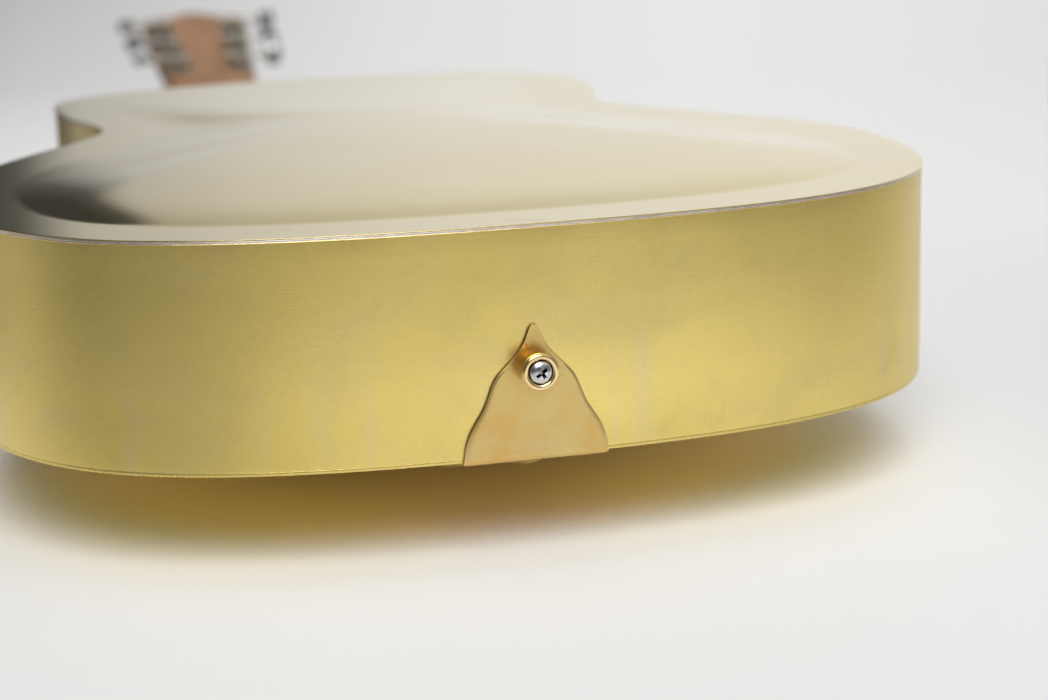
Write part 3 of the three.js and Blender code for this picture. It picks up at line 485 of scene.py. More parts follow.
MAPLE = dict(tones=((0.50, 0.34, 0.19), (0.64, 0.47, 0.29), (0.74, 0.58, 0.39)),
             scale=60, rough=0.5, coat=0.0, pores=0.18)
STEEL = dict(tone=(0.66, 0.66, 0.68), rough=0.13, grime_and_shade=(0.30, 0.28, 0.26), amount=0.16)
M = {
    "sides": brass_sides(),
    "back": brass_back(),
    "top": brass_plain(
        "brass_top", ((0.74, 0.55, 0.15), (0.80, 0.61, 0.19), (0.84, 0.66, 0.24)),
        rough=0.26, brushing=(500, 10, 10), bump=0.06, stain=0.22,
        rim=(0.74, 0.575, 0.18), bounce=(1.0, 0.80, 0.11)),
    "cover": brass_plain(
        "brass_cover", ((0.75, 0.57, 0.20), (0.82, 0.64, 0.25), (0.86, 0.70, 0.31)),
        rough=0.22, brushing=(14, 600, 14), bump=0.06, stain=0.2, bounce=(1.0, 0.82, 0.12)),
    "well": brass_plain(
        "brass_well", ((0.52, 0.41, 0.18), (0.60, 0.48, 0.22), (0.66, 0.54, 0.28)),
        rough=0.42, brushing=(14, 14, 500), bump=0.08, stain=0.45),
    "tail": bracket_brass(),
    "lip": brass_plain(
        "brass_lip", ((0.74, 0.55, 0.28), (0.82, 0.63, 0.34), (0.87, 0.70, 0.40)),
        rough=0.24, brushing=(60, 60, 900), bump=0.03, stain=0.10, gap=0.0001),
    "pin": brass_plain(
        "brass_pin", ((0.80, 0.56, 0.25), (0.87, 0.64, 0.32), (0.91, 0.72, 0.42)),
        rough=0.13, brushing=(60, 900, 60), bump=0.04, stain=0.12),
    "solder": solder(),
    "cone": spun(),
    "nickel": grey_metal("nickel_plate", tone=(0.40, 0.375, 0.335), rough=0.32),
    "gear": grey_metal("gear_brass", tone=(0.42, 0.34, 0.20), rough=0.34,
                       grime_and_shade=(0.2, 0.14, 0.07), edge=(0.85, 0.72, 0.42)),
    "button": grey_metal("button_nickel", tone=(0.27, 0.275, 0.28), rough=0.22, amount=0.25),
    "fret": grey_metal("fret_wire", tone=(0.70, 0.69, 0.65), rough=0.18, amount=0.15),
    "screw": grey_metal("screw_steel", **STEEL),
    "pin_steel": grey_metal("pin_steel", gap=0.0020, **STEEL),
    "screw_dark": grey_metal("screw_brass", tone=(0.66, 0.52, 0.25), rough=0.25,
                             grime_and_shade=(0.2, 0.14, 0.08), edge=(0.9, 0.76, 0.45)),
    "mahogany": wood(
        "mahogany", ((0.175, 0.080, 0.034), (0.295, 0.150, 0.068), (0.395, 0.218, 0.108))),
    "maple": wood("maple", **MAPLE),
    "maple_cross": wood("maple_cross", grain=(0.045, 1, 1), **MAPLE),
    "rosewood": wood(
        "rosewood", ((0.030, 0.014, 0.010), (0.075, 0.035, 0.022), (0.13, 0.062, 0.036)),
        scale=90, rough=0.45, coat=0.05, pores=0.5),
    "ebony": wood(
        "ebony_veneer", ((0.010, 0.009, 0.009), (0.020, 0.018, 0.017), (0.036, 0.030, 0.027)),
        scale=80, rough=0.28, coat=0.4, pores=0.3),
    "bone": bone(),
    "pearl": pearl(),
    "wound": wire("wound_bronze", dark=(0.30, 0.17, 0.07), light=(0.74, 0.50, 0.27),
                  rough=0.28, pitch=0.0009),
    "plain": wire("plain_steel", dark=(0.60, 0.60, 0.61), light=(0.74, 0.74, 0.75),
                  rough=0.18, pitch=0.004),
}


# ---------------------------------------------------------------- mesh helpers (all input in mm)
def to_object(name, mesh, material, node=None, body="guitar", sharp=32.0):
    """Link the mesh as an object; edges steeper than `sharp` degrees stay crisp."""
    made = bpy.data.objects.new(name, mesh)
    bpy.context.scene.collection.objects.link(made)
    bm = bmesh.new()
    bm.from_mesh(mesh)
    bmesh.ops.remove_doubles(bm, verts=bm.verts, dist=1e-7)
    bmesh.ops.recalc_face_normals(bm, faces=bm.faces)
    limit = math.radians(sharp)
    for face in bm.faces:
        face.smooth = True
    for edge in bm.edges:
        edge.smooth = not (len(edge.link_faces) == 2 and edge.calc_face_angle(0) > limit)
    bm.to_mesh(mesh)
    bm.free()
    mesh.materials.clear()
    mesh.materials.append(M[material])
    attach(made, body)
    if node:
        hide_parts(node)


def raw_mesh(name, points, faces):
    mesh = bpy.data.meshes.new(name)
    mesh.from_pydata([tuple(c * MM for c in point) for point in points], [], faces)
    mesh.update()
    return mesh


def grid_mesh(name, rows, close_rows=False, cap=False, uv=None):
    """Skin over closed rings of points. close_rows joins the last ring to the first;
    uv(row, column) gives the texture place."""
    count, width = len(rows), len(rows[0])
    faces = []
    for j in range(count if close_rows else count - 1):
        a, b = j * width, ((j + 1) % count) * width
        for i in range(width):
            k = (i + 1) % width
            faces.append((a + i, a + k, b + k, b + i))
    if cap:
        faces.append(tuple(reversed(range(width))))
        faces.append(tuple((count - 1) * width + i for i in range(width)))
    mesh = raw_mesh(name, [point for row in rows for point in row], faces)
    if uv:
        layer = mesh.uv_layers.new(name="UVMap")
        for face in mesh.polygons:
            for loop in face.loop_indices:
                row, column = divmod(mesh.loops[loop].vertex_index, width)
                if column == 0 and any(v % width == width - 1 for v in face.vertices):
                    column = width
                layer.data[loop].uv = uv(row, column)
    return mesh


def lathe_mesh(name, profile, segments, matrix=Matrix.Identity(4)):
    """profile: (radius, z) about local z. It starts on the axis or closes on itself."""
    points, faces, rings = [], [], []
    for radius, z in profile:
        if radius < 1e-6:
            points.append(matrix @ Vector((0, 0, z)))
            rings.append([len(points) - 1] * segments)
            continue
        first = len(points)
        for i in range(segments):
            a = 2 * math.pi * i / segments
            points.append(matrix @ Vector((radius * math.cos(a), radius * math.sin(a), z)))
        rings.append(list(range(first, first + segments)))
    closed = profile[0][0] > 1e-6
    count = len(rings)
    for j in range(count if closed else count - 1):
        a, b = rings[j], rings[(j + 1) % count]
        for i in range(segments):
            k = (i + 1) % segments
            face = list(dict.fromkeys((a[i], a[k], b[k], b[i])))
            if len(face) > 2:
                faces.append(face)
    return raw_mesh(name, points, faces)


def rod(radius, low, high, segments, matrix):
    profile = [(0, low), (radius, low), (radius, high), (0, high)]
    return lathe_mesh("cut", profile, segments, matrix)


def sheet_mesh(name, loops, z0, z1, bevel=0.0, steps=0, matrix=None):
    """Flat plate with rounded edges; loops[0] is the outline, the rest are holes."""
    curve = bpy.data.curves.new(name, "CURVE")
    curve.dimensions = "2D"
    curve.fill_mode = "BOTH"
    # painted shade: the table darker on the bass side by the butt
    for loop in loops:
        spline = curve.splines.new("POLY")
        spline.points.add(len(loop) - 1)
        for point, (x, y) in zip(spline.points, loop):
            point.co = (x, y, 0, 1)
        spline.use_cyclic_u = True
    # painted light: warm light thrown from the brass onto the table, an oval under the body
    curve.extrude = (z1 - z0) / 2 - bevel
    curve.bevel_depth = bevel
    curve.bevel_resolution = steps
    curve.offset = -bevel
    holder = bpy.data.objects.new(name + "_c", curve)
    bpy.context.scene.collection.objects.link(holder)
    mesh = bpy.data.meshes.new_from_object(holder, depsgraph=None)
    bpy.data.objects.remove(holder)
    bpy.data.curves.remove(curve)
    mesh.transform(Matrix.Translation((0, 0, (z0 + z1) / 2)))
    if matrix:
        mesh.transform(matrix)
    mesh.transform(Matrix.Scale(MM, 4))
    mesh.name = name
    return mesh


def tube_mesh(name, points, radius, sides=12):
    """A round capped tube along points. UV: u along it in metres, v round it."""
    points = [Vector(p) for p in points]
    count = len(points)
    tangents = []
    for i in range(count):
        d = Vector((0, 0, 0))
        if i:
            d += (points[i] - points[i - 1]).normalized()
        if i < count - 1:
            d += (points[i + 1] - points[i]).normalized()
        tangents.append(d.normalized())
    up = Vector((0, 0, 1)) if abs(tangents[0].z) < 0.9 else Vector((1, 0, 0))
    normal = (up - tangents[0] * up.dot(tangents[0])).normalized()
    rows, length = [], [0.0]
    for i, (point, tangent) in enumerate(zip(points, tangents)):
        if i:
            length.append(length[-1] + (point - points[i - 1]).length * MM)
            normal = (normal - tangent * normal.dot(tangent)).normalized()
        across = tangent.cross(normal)
        angles = [2 * math.pi * k / sides for k in range(sides)]
        rows.append([point + radius * (math.cos(a) * normal + math.sin(a) * across)
                     for a in angles])
    return grid_mesh(name, rows, cap=True, uv=lambda j, i: (length[j], i / sides))


def box_mesh(name, x0, x1, y0, y1, z0, z1, bevel=0.0, matrix=None, steps=2):
    bm = bmesh.new()
    bmesh.ops.create_cube(bm, size=1.0)
    for v in bm.verts:
        v.co = Vector(((x0 + x1) / 2 + v.co.x * (x1 - x0),
                       (y0 + y1) / 2 + v.co.y * (y1 - y0),
                       (z0 + z1) / 2 + v.co.z * (z1 - z0)))
    if bevel:
        bmesh.ops.bevel(bm, geom=list(bm.edges), offset=bevel, segments=steps,
                        affect="EDGES", profile=0.5)
    if matrix:
        bmesh.ops.transform(bm, matrix=matrix, verts=bm.verts)
    bmesh.ops.scale(bm, vec=(MM, MM, MM), verts=bm.verts)
    mesh = bpy.data.meshes.new(name)
    bm.to_mesh(mesh)
    bm.free()
    return mesh


def fix_normals(mesh):
    bm = bmesh.new()
    bm.from_mesh(mesh)
    bmesh.ops.remove_doubles(bm, verts=bm.verts, dist=1e-7)
    bmesh.ops.recalc_face_normals(bm, faces=bm.faces)
    bm.to_mesh(mesh)
    bm.free()
    return mesh


def boolean(mesh, cutters, operation="DIFFERENCE"):
    """The mesh with each cutter taken away (or added), as a new mesh."""
    target = bpy.data.objects.new("bool_a", mesh)
    bpy.context.scene.collection.objects.link(target)
    helpers = []
    for cutter in cutters:
        helper = bpy.data.objects.new("bool_b", fix_normals(cutter))
        bpy.context.scene.collection.objects.link(helper)
        modifier = target.modifiers.new("b", "BOOLEAN")
        modifier.operation = operation
        modifier.solver = "EXACT"
        modifier.object = helper
        helpers.append(helper)
    bpy.context.view_layer.update()
    depsgraph = bpy.context.evaluated_depsgraph_get()
    result = bpy.data.meshes.new_from_object(target.evaluated_get(depsgraph))
    for used in [target] + helpers:
        bpy.data.objects.remove(used)
    return result


def join(name, meshes):
    bm = bmesh.new()
    for mesh in meshes:
        bm.from_mesh(mesh)
    joined = bpy.data.meshes.new(name)
    bm.to_mesh(joined)
    bm.free()
    return joined


def place(mesh, matrix):
    """Move a finished mesh by a matrix given in mm."""
    mesh.transform(Matrix.Scale(1 / MM, 4))
    mesh.transform(matrix)
    mesh.transform(Matrix.Scale(MM, 4))
    return mesh


def circle(cx, cy, radius, count):
    angles = [2 * math.pi * (i + 0.5) / count for i in range(count)]
    return [(cx + radius * math.cos(a), cy + radius * math.sin(a)) for a in angles]


def arc_points(cx, cz, radius, start, end, steps):
    angles = [math.radians(start + (end - start) * i / steps) for i in range(steps + 1)]
    return [(cx + radius * math.cos(a), cz + radius * math.sin(a)) for a in angles]


def basis(x_axis, y_axis, z_axis, origin):
    return Matrix([(*x_axis, 0), (*y_axis, 0), (*z_axis, 0), (*origin, 1)]).transposed()


def smoothstep(a, b, x):
    t = max(0.0, min(1.0, (x - a) / (b - a)))
    return t * t * (3 - 2 * t)


def spline_at(points, x, start=None, end=None):
    """Height at x of a smooth curve through points. End slopes default to the end chords."""
    last = len(points) - 1

    def slope(k):
        if k == 0 and start is not None:
            return start
        if k == last and end is not None:
            return end
        (x0, y0), (x1, y1) = points[max(0, k - 1)], points[min(last, k + 1)]
        return (y1 - y0) / (x1 - x0)

    for i, ((x0, y0), (x1, y1)) in enumerate(zip(points, points[1:])):
        if x <= x1:
            w = x1 - x0
            t = (x - x0) / w
            return ((2 * t ** 3 - 3 * t * t + 1) * y0
                    + (t ** 3 - 2 * t * t + t) * slope(i) * w
                    + (-2 * t ** 3 + 3 * t * t) * y1
                    + (t ** 3 - t * t) * slope(i + 1) * w)
    return points[-1][1]


def linear_at(points, x):
    for (x0, y0), (x1, y1) in zip(points, points[1:]):
        if x <= x1:
            return y0 + (y1 - y0) * (x - x0) / (x1 - x0)
    return points[-1][1]


def smooth_line(points, steps):
    """Catmull-Rom curve through 2D points, as tuples."""
    line = []
    last = len(points) - 1
    for i in range(last):
        p0, p1, p2, p3 = (Vector(points[k])
                          for k in (max(i - 1, 0), i, i + 1, min(i + 2, last)))
        for j in range(steps):
            t = j / steps
            line.append(0.5 * ((2 * p1) + (-p0 + p2) * t
                               + (2 * p0 - 5 * p1 + 4 * p2 - p3) * t * t
                               + (-p0 + 3 * p1 - 3 * p2 + p3) * t ** 3))
    line.append(Vector(points[-1]))
    return [tuple(p) for p in line]


def slotted_head(name, radius, height, matrix, material, turn, body="guitar"):
    """Slotted round screw head standing on local z = 0; turn is the slot's angle."""
    profile = [(0, height)]
    for i in range(1, 8):
        a = math.pi / 2 * i / 7
        profile.append((radius * math.sin(a), height * (0.25 + 0.75 * math.cos(a))))
    profile += [(radius, 0.0), (0, 0.0)]
    groove = box_mesh("cut", -radius * 1.3, radius * 1.3, -radius * 0.13, radius * 0.13,
                      height * 0.45, height * 1.5, matrix=Matrix.Rotation(turn, 4, "Z"))
    mesh = boolean(fix_normals(lathe_mesh(name, profile, 28)), [groove])
    to_object(name, place(mesh, matrix), material, body=body)


# strap button frame: local z points out of the butt
PIN = basis((1, 0, 0), (0, 0, 1), (0, -1, 0), (PIN_X, 0, PIN_Z))
AT_BRIDGE = Matrix.Translation((0, BRIDGE_Y, 0))


# ---------------------------------------------------------------- body outline
def bezier(points, t):
    a, b, c, d = [Vector(q) for q in points]
    s = 1 - t
    return s * s * s * a + 3 * s * s * t * b + 3 * s * t * t * c + t * t * t * d


def bezier_direction(points, t):
    a, b, c, d = [Vector(q) for q in points]
    s = 1 - t
    return (3 * s * s * (b - a) + 6 * s * t * (c - b) + 3 * t * t * (d - c)).normalized()


LOWER_RISE, UPPER_RISE = WAIST_Y - LOWER_Y, UPPER_Y - WAIST_Y
# treble half from butt to neck: (steps, Bezier control points)
CURVES = [
    (56, [(0, 0), (0.597 * LOWER_HALF, 0), (LOWER_HALF, LOWER_Y * (1 - 0.863)),
          (LOWER_HALF, LOWER_Y)]),
    (44, [(LOWER_HALF, LOWER_Y), (LOWER_HALF, LOWER_Y + 0.418 * LOWER_RISE),
          (WAIST_HALF, WAIST_Y - 0.196 * LOWER_RISE), (WAIST_HALF, WAIST_Y)]),
    (26, [(WAIST_HALF, WAIST_Y), (WAIST_HALF, WAIST_Y + 0.296 * UPPER_RISE),
          (UPPER_HALF, UPPER_Y - 0.584 * UPPER_RISE), (UPPER_HALF, UPPER_Y)]),
    (46, [(UPPER_HALF, UPPER_Y), (UPPER_HALF, UPPER_Y + 0.647 * (BODY_LEN - UPPER_Y)),
          (0.641 * UPPER_HALF, BODY_LEN), (0, BODY_LEN)]),
]


def wall_points():
    """(x, y, outward normal x, y) all round the body."""
    half = []
    for steps, points in CURVES:
        for i in range(steps):
            p, d = bezier(points, i / steps), bezier_direction(points, i / steps)
            half.append((p.x, p.y, d.y, -d.x))
    half[0] = (0.0, 0.0, 0.0, -1.0)
    half.append((0.0, BODY_LEN, 0.0, 1.0))
    return half + [(-x, y, -nx, ny) for x, y, nx, ny in reversed(half[1:-1])]


WALL = wall_points()


def outline(inset=0.0):
    return [(x - inset * nx, y - inset * ny) for x, y, nx, ny in WALL]


def outline_ring(inset, z):
    return [Vector((x, y, z)) for x, y in outline(inset)]


# ---------------------------------------------------------------- back, solder, sides, top
CROWN_CENTRE = (0.0, 245.0)
BORDER = 24.0       # flat border of the back round its crown
# crown height as (fraction of the way out, fraction of BACK_CROWN): by the butt, down the
# flanks, and over the upper bout
CROWN_FIRM = [(0.0, 1.0), (0.3, 0.955), (0.55, 0.84), (0.7, 0.69), (0.8, 0.55), (0.88, 0.41),
              (0.93, 0.28), (0.965, 0.145), (0.985, 0.055), (1.0, 0.0)]
CROWN_FLANK = [(0.0, 1.0), (0.15, 0.97), (0.3, 0.86), (0.45, 0.66), (0.6, 0.40), (0.72, 0.20),
               (0.82, 0.09), (0.9, 0.035), (0.96, 0.008), (1.0, 0.0)]
CROWN_SOFT = [(0.0, 1.0), (0.3, 0.93), (0.55, 0.72), (0.7, 0.46), (0.82, 0.20), (0.9, 0.075),
              (0.96, 0.012), (1.0, 0.0)]
CROWN_RINGS = (0.02, 0.1, 0.2, 0.3, 0.4, 0.48, 0.55, 0.6, 0.65, 0.7, 0.75, 0.79, 0.82, 0.85,
               0.88, 0.905, 0.93, 0.95, 0.965, 0.975, 0.985, 0.993)
BORDER_INSETS = (24, 22, 18, 13, 8, 4, 2.2, 1.5)
BACK_Z = -BODY_DEPTH


def crown_rows(offset):
    rows = []
    cx, cy = CROWN_CENTRE
    for k in CROWN_RINGS:
        firm, flank, soft = (spline_at(table, k, start=0.0, end=0.0)
                             for table in (CROWN_FIRM, CROWN_FLANK, CROWN_SOFT))
        row = []
        for x, y, nx, ny in WALL:
            side, up = smoothstep(62, 160, y), smoothstep(255, 330, y)
            px, py = cx + k * (x - BORDER * nx - cx), cy + k * (y - BORDER * ny - cy)
            shape = (1 - side) * firm + side * ((1 - up) * flank + up * soft)
            lift = BACK_CROWN * shape * (1 - 0.5 * smoothstep(245, 365, py))
            row.append(Vector((px, py, -BODY_DEPTH - lift + offset)))
        rows.append(row)
    return rows + [outline_ring(inset, BACK_Z + offset) for inset in BORDER_INSETS]


def back_plate():
    """Crowned plate with a small turned edge."""
    rows = crown_rows(0)
    edge_r = 0.13
    for i in range(6):
        t = math.pi / 2 * i / 5
        rows.append(outline_ring(0.03 + edge_r - edge_r * math.sin(t),
                                 BACK_Z + edge_r - edge_r * math.cos(t)))
    for inset, rise in ((0.05, 0.42), (0.14, 0.47), (0.30, 0.49)):
        rows.append(outline_ring(inset, BACK_Z + rise))
    rows += reversed(crown_rows(SHEET))
    to_object("back_plate", grid_mesh("back_plate", rows, cap=True), "back",
              "body_back", sharp=44)


def solder_line():
    """Slightly uneven bead under the rim of the back."""
    # (inset, rise above the back's face, unevenness)
    section = [(0.36, 0.51, 0), (0.22, 0.51, 0.01), (0.15, 0.62, 0.02), (0.14, 0.85, 0.025),
               (0.17, 1.04, 0.02), (0.30, 1.15, 0), (1.30, 1.25, 0), (1.30, 1.235, 0)]
    rows = []
    for j, (inset, rise, uneven) in enumerate(section):
        rows.append([
            Vector((x, y, BACK_Z + rise
                    + uneven * noise.noise(Vector((x * 0.09, y * 0.09, j * 0.3)))))
            for x, y in outline(inset)])
    to_object("solder_line", grid_mesh("solder_line", rows, close_rows=True), "solder",
              "back_seam_solder")


def side_wall():
    """One strip of sheet with a faint waviness, slotted at the neck for the stick."""
    start, end = BACK_Z + 1.50, -SHEET
    parts = (0.06, 0.1, 0.15, 0.2, 0.3, 0.4, 0.5, 0.6, 0.7, 0.8, 0.88, 0.94)
    levels = ([start, start + 0.5, start + 1.4] + [start + (end - start) * t for t in parts]
              + [end - 1.2, end - 0.35])
    rows = []
    for z in levels:
        fade = max(0.0, min(1.0, min(z - start, end - z) / 10.0))
        row = []
        for x, y, nx, ny in WALL:
            w = 0.20 * fade * noise.noise(Vector((x * 0.013, y * 0.013, z * 0.02)))
            row.append(Vector((x - (OVERHANG - w) * nx, y - (OVERHANG - w) * ny, z)))
        rows.append(row)
    inner = [(OVERHANG + 0.01, end - 0.03), (OVERHANG + 0.04, end), (OVERHANG + SHEET, end),
             (OVERHANG + SHEET, BACK_Z + 1.32), (OVERHANG + 0.10, BACK_Z + 1.32),
             (OVERHANG, BACK_Z + 1.38)]
    rows += [outline_ring(inset, z) for inset, z in inner]
    v_places = [z * MM for z in levels + [z for _, z in inner]]
    edge = outline()
    u_places = [0.0]
    for i in range(1, len(edge) + 1):
        u_places.append(u_places[-1] + math.dist(edge[i % len(edge)], edge[i - 1]) * MM)
    mesh = grid_mesh("side_wall", rows, close_rows=True,
                     uv=lambda j, i: (u_places[i], v_places[j]))
    stick_slot = box_mesh("cut", -11.35, 11.35, 440, 480, -50.35, -25.65)
    mesh = boolean(fix_normals(mesh), [stick_slot, rod(PIN_HOLE_R, -6, 8, 24, PIN)])
    to_object("side_wall", mesh, "sides", "body_sides", sharp=40)


def side_lip():
    """Thin roll the sides turn up to, just under the solder."""
    rows = []
    for i in range(10):
        t = 2 * math.pi * i / 10
        row = []
        for x, y in outline(0.36 - 0.21 * math.cos(t)):
            half = 0.20 + 0.005 * noise.noise(Vector((x * 0.2, y * 0.2, 3.0)))
            row.append(Vector((x, y, BACK_Z + 1.37 + half * math.sin(t))))
        rows.append(row)
    to_object("side_lip", grid_mesh("side_lip", rows, close_rows=True), "lip",
              sharp=60)


def sound_hole(side):
    """f-hole: a bent centre line with a half width at each distance along it."""
    length = 104
    # (distance from one end, half width) over the first half
    widths = [(0, 0.6), (0.5, 2.0), (1.4, 3.4), (2.8, 4.6), (4.8, 5.4), (7, 5.6), (9, 5.1),
              (11, 4.0), (13, 3.0), (16, 2.4), (22, 2.3), (29, 2.6), (36, 3.0), (44, 3.4),
              (52, 3.6)]
    left, right = [], []
    for d, w in widths + [(length - d, w) for d, w in reversed(widths[:-1])]:
        t = d / length
        x, y = -9 * math.cos(math.pi * t), d - length / 2
        dx = 9 * math.pi * math.sin(math.pi * t) / length
        norm = math.hypot(dx, 1)
        left.append((x - w / norm, y + w * dx / norm))
        right.append((x + w / norm, y - w * dx / norm))
    return [(side * (78 - x), 385 + y) for x, y in left + right[::-1]]


def top_plate():
    loops = [outline(OVERHANG), circle(0, BRIDGE_Y, WELL_R, 160), sound_hole(1), sound_hole(-1)]
    to_object("top_plate", sheet_mesh("top_plate", loops, -SHEET, 0, bevel=0.06, steps=2),
              "top", "body_top")


# ---------------------------------------------------------------- soundwell, cone, biscuit
def resonator():
    # profiles are (radius, z)
    well = [(WELL_R + 2, -SHEET), (WELL_R + 2, -21.6), (WELL_R + 1.6, -22), (WELL_R - 7.7, -22),
            (WELL_R - 8, -21.7), (WELL_R - 8, -21.3), (WELL_R - 7.7, -21), (WELL_R + 0.7, -21),
            (WELL_R + 1, -20.7), (WELL_R + 1, -SHEET)]
    to_object("soundwell_ring", lathe_mesh("soundwell_ring", well, 128, AT_BRIDGE), "well",
              "soundwell")

    thickness = 0.8
    upper = [(28.6, 4.4), (30.5, 4.2), (32, 3.0)]
    upper += [(32 + (110.5 - 32) * i / 11, 3.0 + (-18.4 - 3.0) * i / 11) for i in range(1, 12)]
    upper += [(112, -19.4), (113.5, -20.2), (120.0, -20.2), (120.2, -20.4)]
    under = [(r, z - thickness) for r, z in reversed(upper[:-1])]
    cone = [(1.9, 4.4)] + upper + [(120.2, -20.8)] + under + [(1.9, 3.6)]
    to_object("spun_cone", lathe_mesh("spun_cone", cone, 128, AT_BRIDGE), "cone",
              "cone")

    biscuit = [(1.9, 4.4), (27.6, 4.4), (28, 4.8), (28, 12.8), (27.4, BISCUIT_TOP),
               (0, BISCUIT_TOP), (0, 10.2), (1.9, 10.2)]
    mesh = fix_normals(lathe_mesh("biscuit_disc", biscuit, 72, AT_BRIDGE))
    saddle_slot = box_mesh("cut", -40, 40, BRIDGE_Y - 2.8, BRIDGE_Y + 2.8, BISCUIT_SLOT, 20)
    to_object("biscuit_disc", boolean(mesh, [saddle_slot]), "maple", "biscuit")


# ---------------------------------------------------------------- coverplate
COVER_DOME = [(0, 16), (30, 15.6), (68, 13), (98, 8.8), (113, 5.2), (123, COVER_T)]  # (r, z)
COVER_RADII = [0.0, 8, 16, 24, 32, 40, 48, 56, 64, 72, 80, 88, 94, 100, 105, 110, 114, 117,
               120, 122, 123, 124.5, 128, 131.5]
REST_MOUTH = [(-34, -10), (-33.2, -12.6), (-30.6, -14), (30.6, -14), (33.2, -12.6), (34, -10),
              (34, 10), (33.2, 12.6), (30.6, 14), (-30.6, 14), (-33.2, 12.6), (-34, 10)]


def cover_z(radius):
    return spline_at(COVER_DOME, radius, start=0.0, end=-0.30)


def cover_slot(q, i):
    """Radial slot i, -2 to 2, of the fan in quarter q; it widens outwards."""
    w0, w1 = 1.7, 3.8
    r0, r1 = 64 + 4 * abs(i), 106 - 3.5 * abs(i)
    outer = [math.pi * k / 8 for k in range(1, 8)]
    inner = [math.pi * k / 6 for k in range(1, 6)]
    loop = [(r0, -w0), (r1, -w1)]
    loop += [(r1 + w1 * 0.62 * math.sin(a), -w1 * math.cos(a)) for a in outer]
    loop += [(r1, w1), (r0, w0)]
    loop += [(r0 - w0 * 0.9 * math.sin(a), w0 * math.cos(a)) for a in inner]
    turn = AT_BRIDGE @ Matrix.Rotation(math.radians(45 + 90 * q + 10 * i), 4, "Z")
    return fix_normals(sheet_mesh("cut", [loop], -5, 30, matrix=turn))


def cover_plate():
    profile = [(r, cover_z(r)) for r in COVER_RADII]
    # rolled rim: (distance in from COVER_R, z)
    rim = [(1.6, 1.05), (0.6, 0.95), (0.1, 0.65), (0, 0.4), (0.2, 0.1), (0.7, 0.0), (11, 0.0)]
    profile += [(COVER_R - d, z) for d, z in rim]
    profile += [(r, cover_z(r) - COVER_T) for r in reversed(COVER_RADII) if r < 121.5]
    mesh = fix_normals(lathe_mesh("cover_plate", profile, 192, AT_BRIDGE))
    cuts = [cover_slot(q, i) for q in range(4) for i in range(-2, 3)]
    cuts.append(fix_normals(sheet_mesh("cut", [REST_MOUTH], -5, 40, matrix=AT_BRIDGE)))
    to_object("cover_plate", boolean(mesh, [join("cuts", cuts)]), "cover",
              "coverplate", sharp=28)
    circle_r = COVER_R - 6
    for i in range(9):
        a = math.radians(10 + 40 * i)
        at = (circle_r * math.cos(a), BRIDGE_Y + circle_r * math.sin(a), COVER_T)
        slotted_head(f"cover_screw_{i + 1}", 2.6, 1.3, Matrix.Translation(at), "screw_dark",
                     turn=0.7 * i)


# ---------------------------------------------------------------- handrest
def rest_path(offset):
    """(x, z) from the flat top down to the treble foot, offset out from the inner face."""
    bend = 14
    points = []
    for i in range(13):
        a = math.pi / 2 * i / 12 * 0.86
        points.append((40 + (bend + offset) * math.sin(a),
                       REST_TOP - REST_T - bend + (bend + offset) * math.cos(a)))
    x, z = points[-1]
    foot_z = 14.05 + offset
    for i in range(1, 5):
        t = i / 4
        points.append((x + 2.0 * t, z + (foot_z + 2.2 - z) * t))
    x, z = points[-1]
    for i in range(1, 7):
        a = math.pi / 2 * i / 6
        points.append((x + (2.4 - offset) * (1 - math.cos(a)), z - (z - foot_z) * math.sin(a)))
    for x in (points[-1][0] + 2.0, 66.0 - 0.2):
        points.append((x, cover_z(x) + 0.15 + offset))
    return points


def rest_half_width(x):
    return REST_HALF_Y - 3.6 * (max(0.0, abs(x) - 50) / 16) ** 2


def hand_rest():
    """One bent strip over the saddle with its feet on the coverplate."""
    steps = 16
    outer, inner = ([(-x, z) for x, z in reversed(path)] + path
                    for path in (rest_path(REST_T), rest_path(0.0)))
    rows = []
    for (xo, zo), (xi, zi) in zip(outer, inner):
        half = rest_half_width(xo)
        ring = []
        for k in range(steps + 1):
            t = -1 + 2 * k / steps
            drop = 0.35 * max(0.0, abs(t) - 0.86) / 0.14 if abs(xo) < 52 else 0
            ring.append(Vector((xo, BRIDGE_Y + half * t, zo - drop)))
        for k in range(steps + 1):
            t = 1 - 2 * k / steps
            ring.append(Vector((xi, BRIDGE_Y + half * t * 0.998, zi)))
        rows.append(ring)
    to_object("hand_rest", grid_mesh("hand_rest", rows, cap=True), "cover",
              "handrest", sharp=38)
    screw_x = 62.6
    screw_z = cover_z(screw_x) + 0.15 + REST_T - 0.1
    for sx in (-1, 1):
        for sy in (-1, 1):
            name = f"rest_screw_{'t' if sx > 0 else 'b'}{'u' if sy > 0 else 'l'}"
            at = Matrix.Translation((sx * screw_x, BRIDGE_Y + sy * 10, screw_z))
            slotted_head(name, 1.9, 1.0, at, "screw_dark", turn=0.5 * sx + sy)


# ---------------------------------------------------------------- neck and head frames
X_AXIS = Vector((1, 0, 0))
JOINT = Vector((0, BODY_LEN, 1.5))
ALONG = Vector((0, math.cos(NECK_TILT), -math.sin(NECK_TILT)))
ABOVE = Vector((0, math.sin(NECK_TILT), math.cos(NECK_TILT)))
NECK = basis(X_AXIS, ALONG, ABOVE, JOINT)


def on_neck(x, t, h):
    """x across, t along from the body joint, h above the neck's flat face."""
    return JOINT + x * X_AXIS + t * ALONG + h * ABOVE


def board_half(t):
    return (NUT_W + (JOINT_W - NUT_W) * (NUT_T - t) / NUT_T) / 2


def fret_at(n):
    return NUT_T - SCALE * (1 - 2 ** (-n / 12))


HEAD = basis(X_AXIS, Vector((0, math.cos(HEAD_TILT), -math.sin(HEAD_TILT))),
             Vector((0, math.sin(HEAD_TILT), math.cos(HEAD_TILT))), on_neck(0, NUT_BACK, 3.7))
# same x and y, but z counts out of the rear face of the head
HEAD_BACK = HEAD @ Matrix.Translation((0, 0, -HEAD_THICK)) @ Matrix.Diagonal((1, 1, -1, 1))


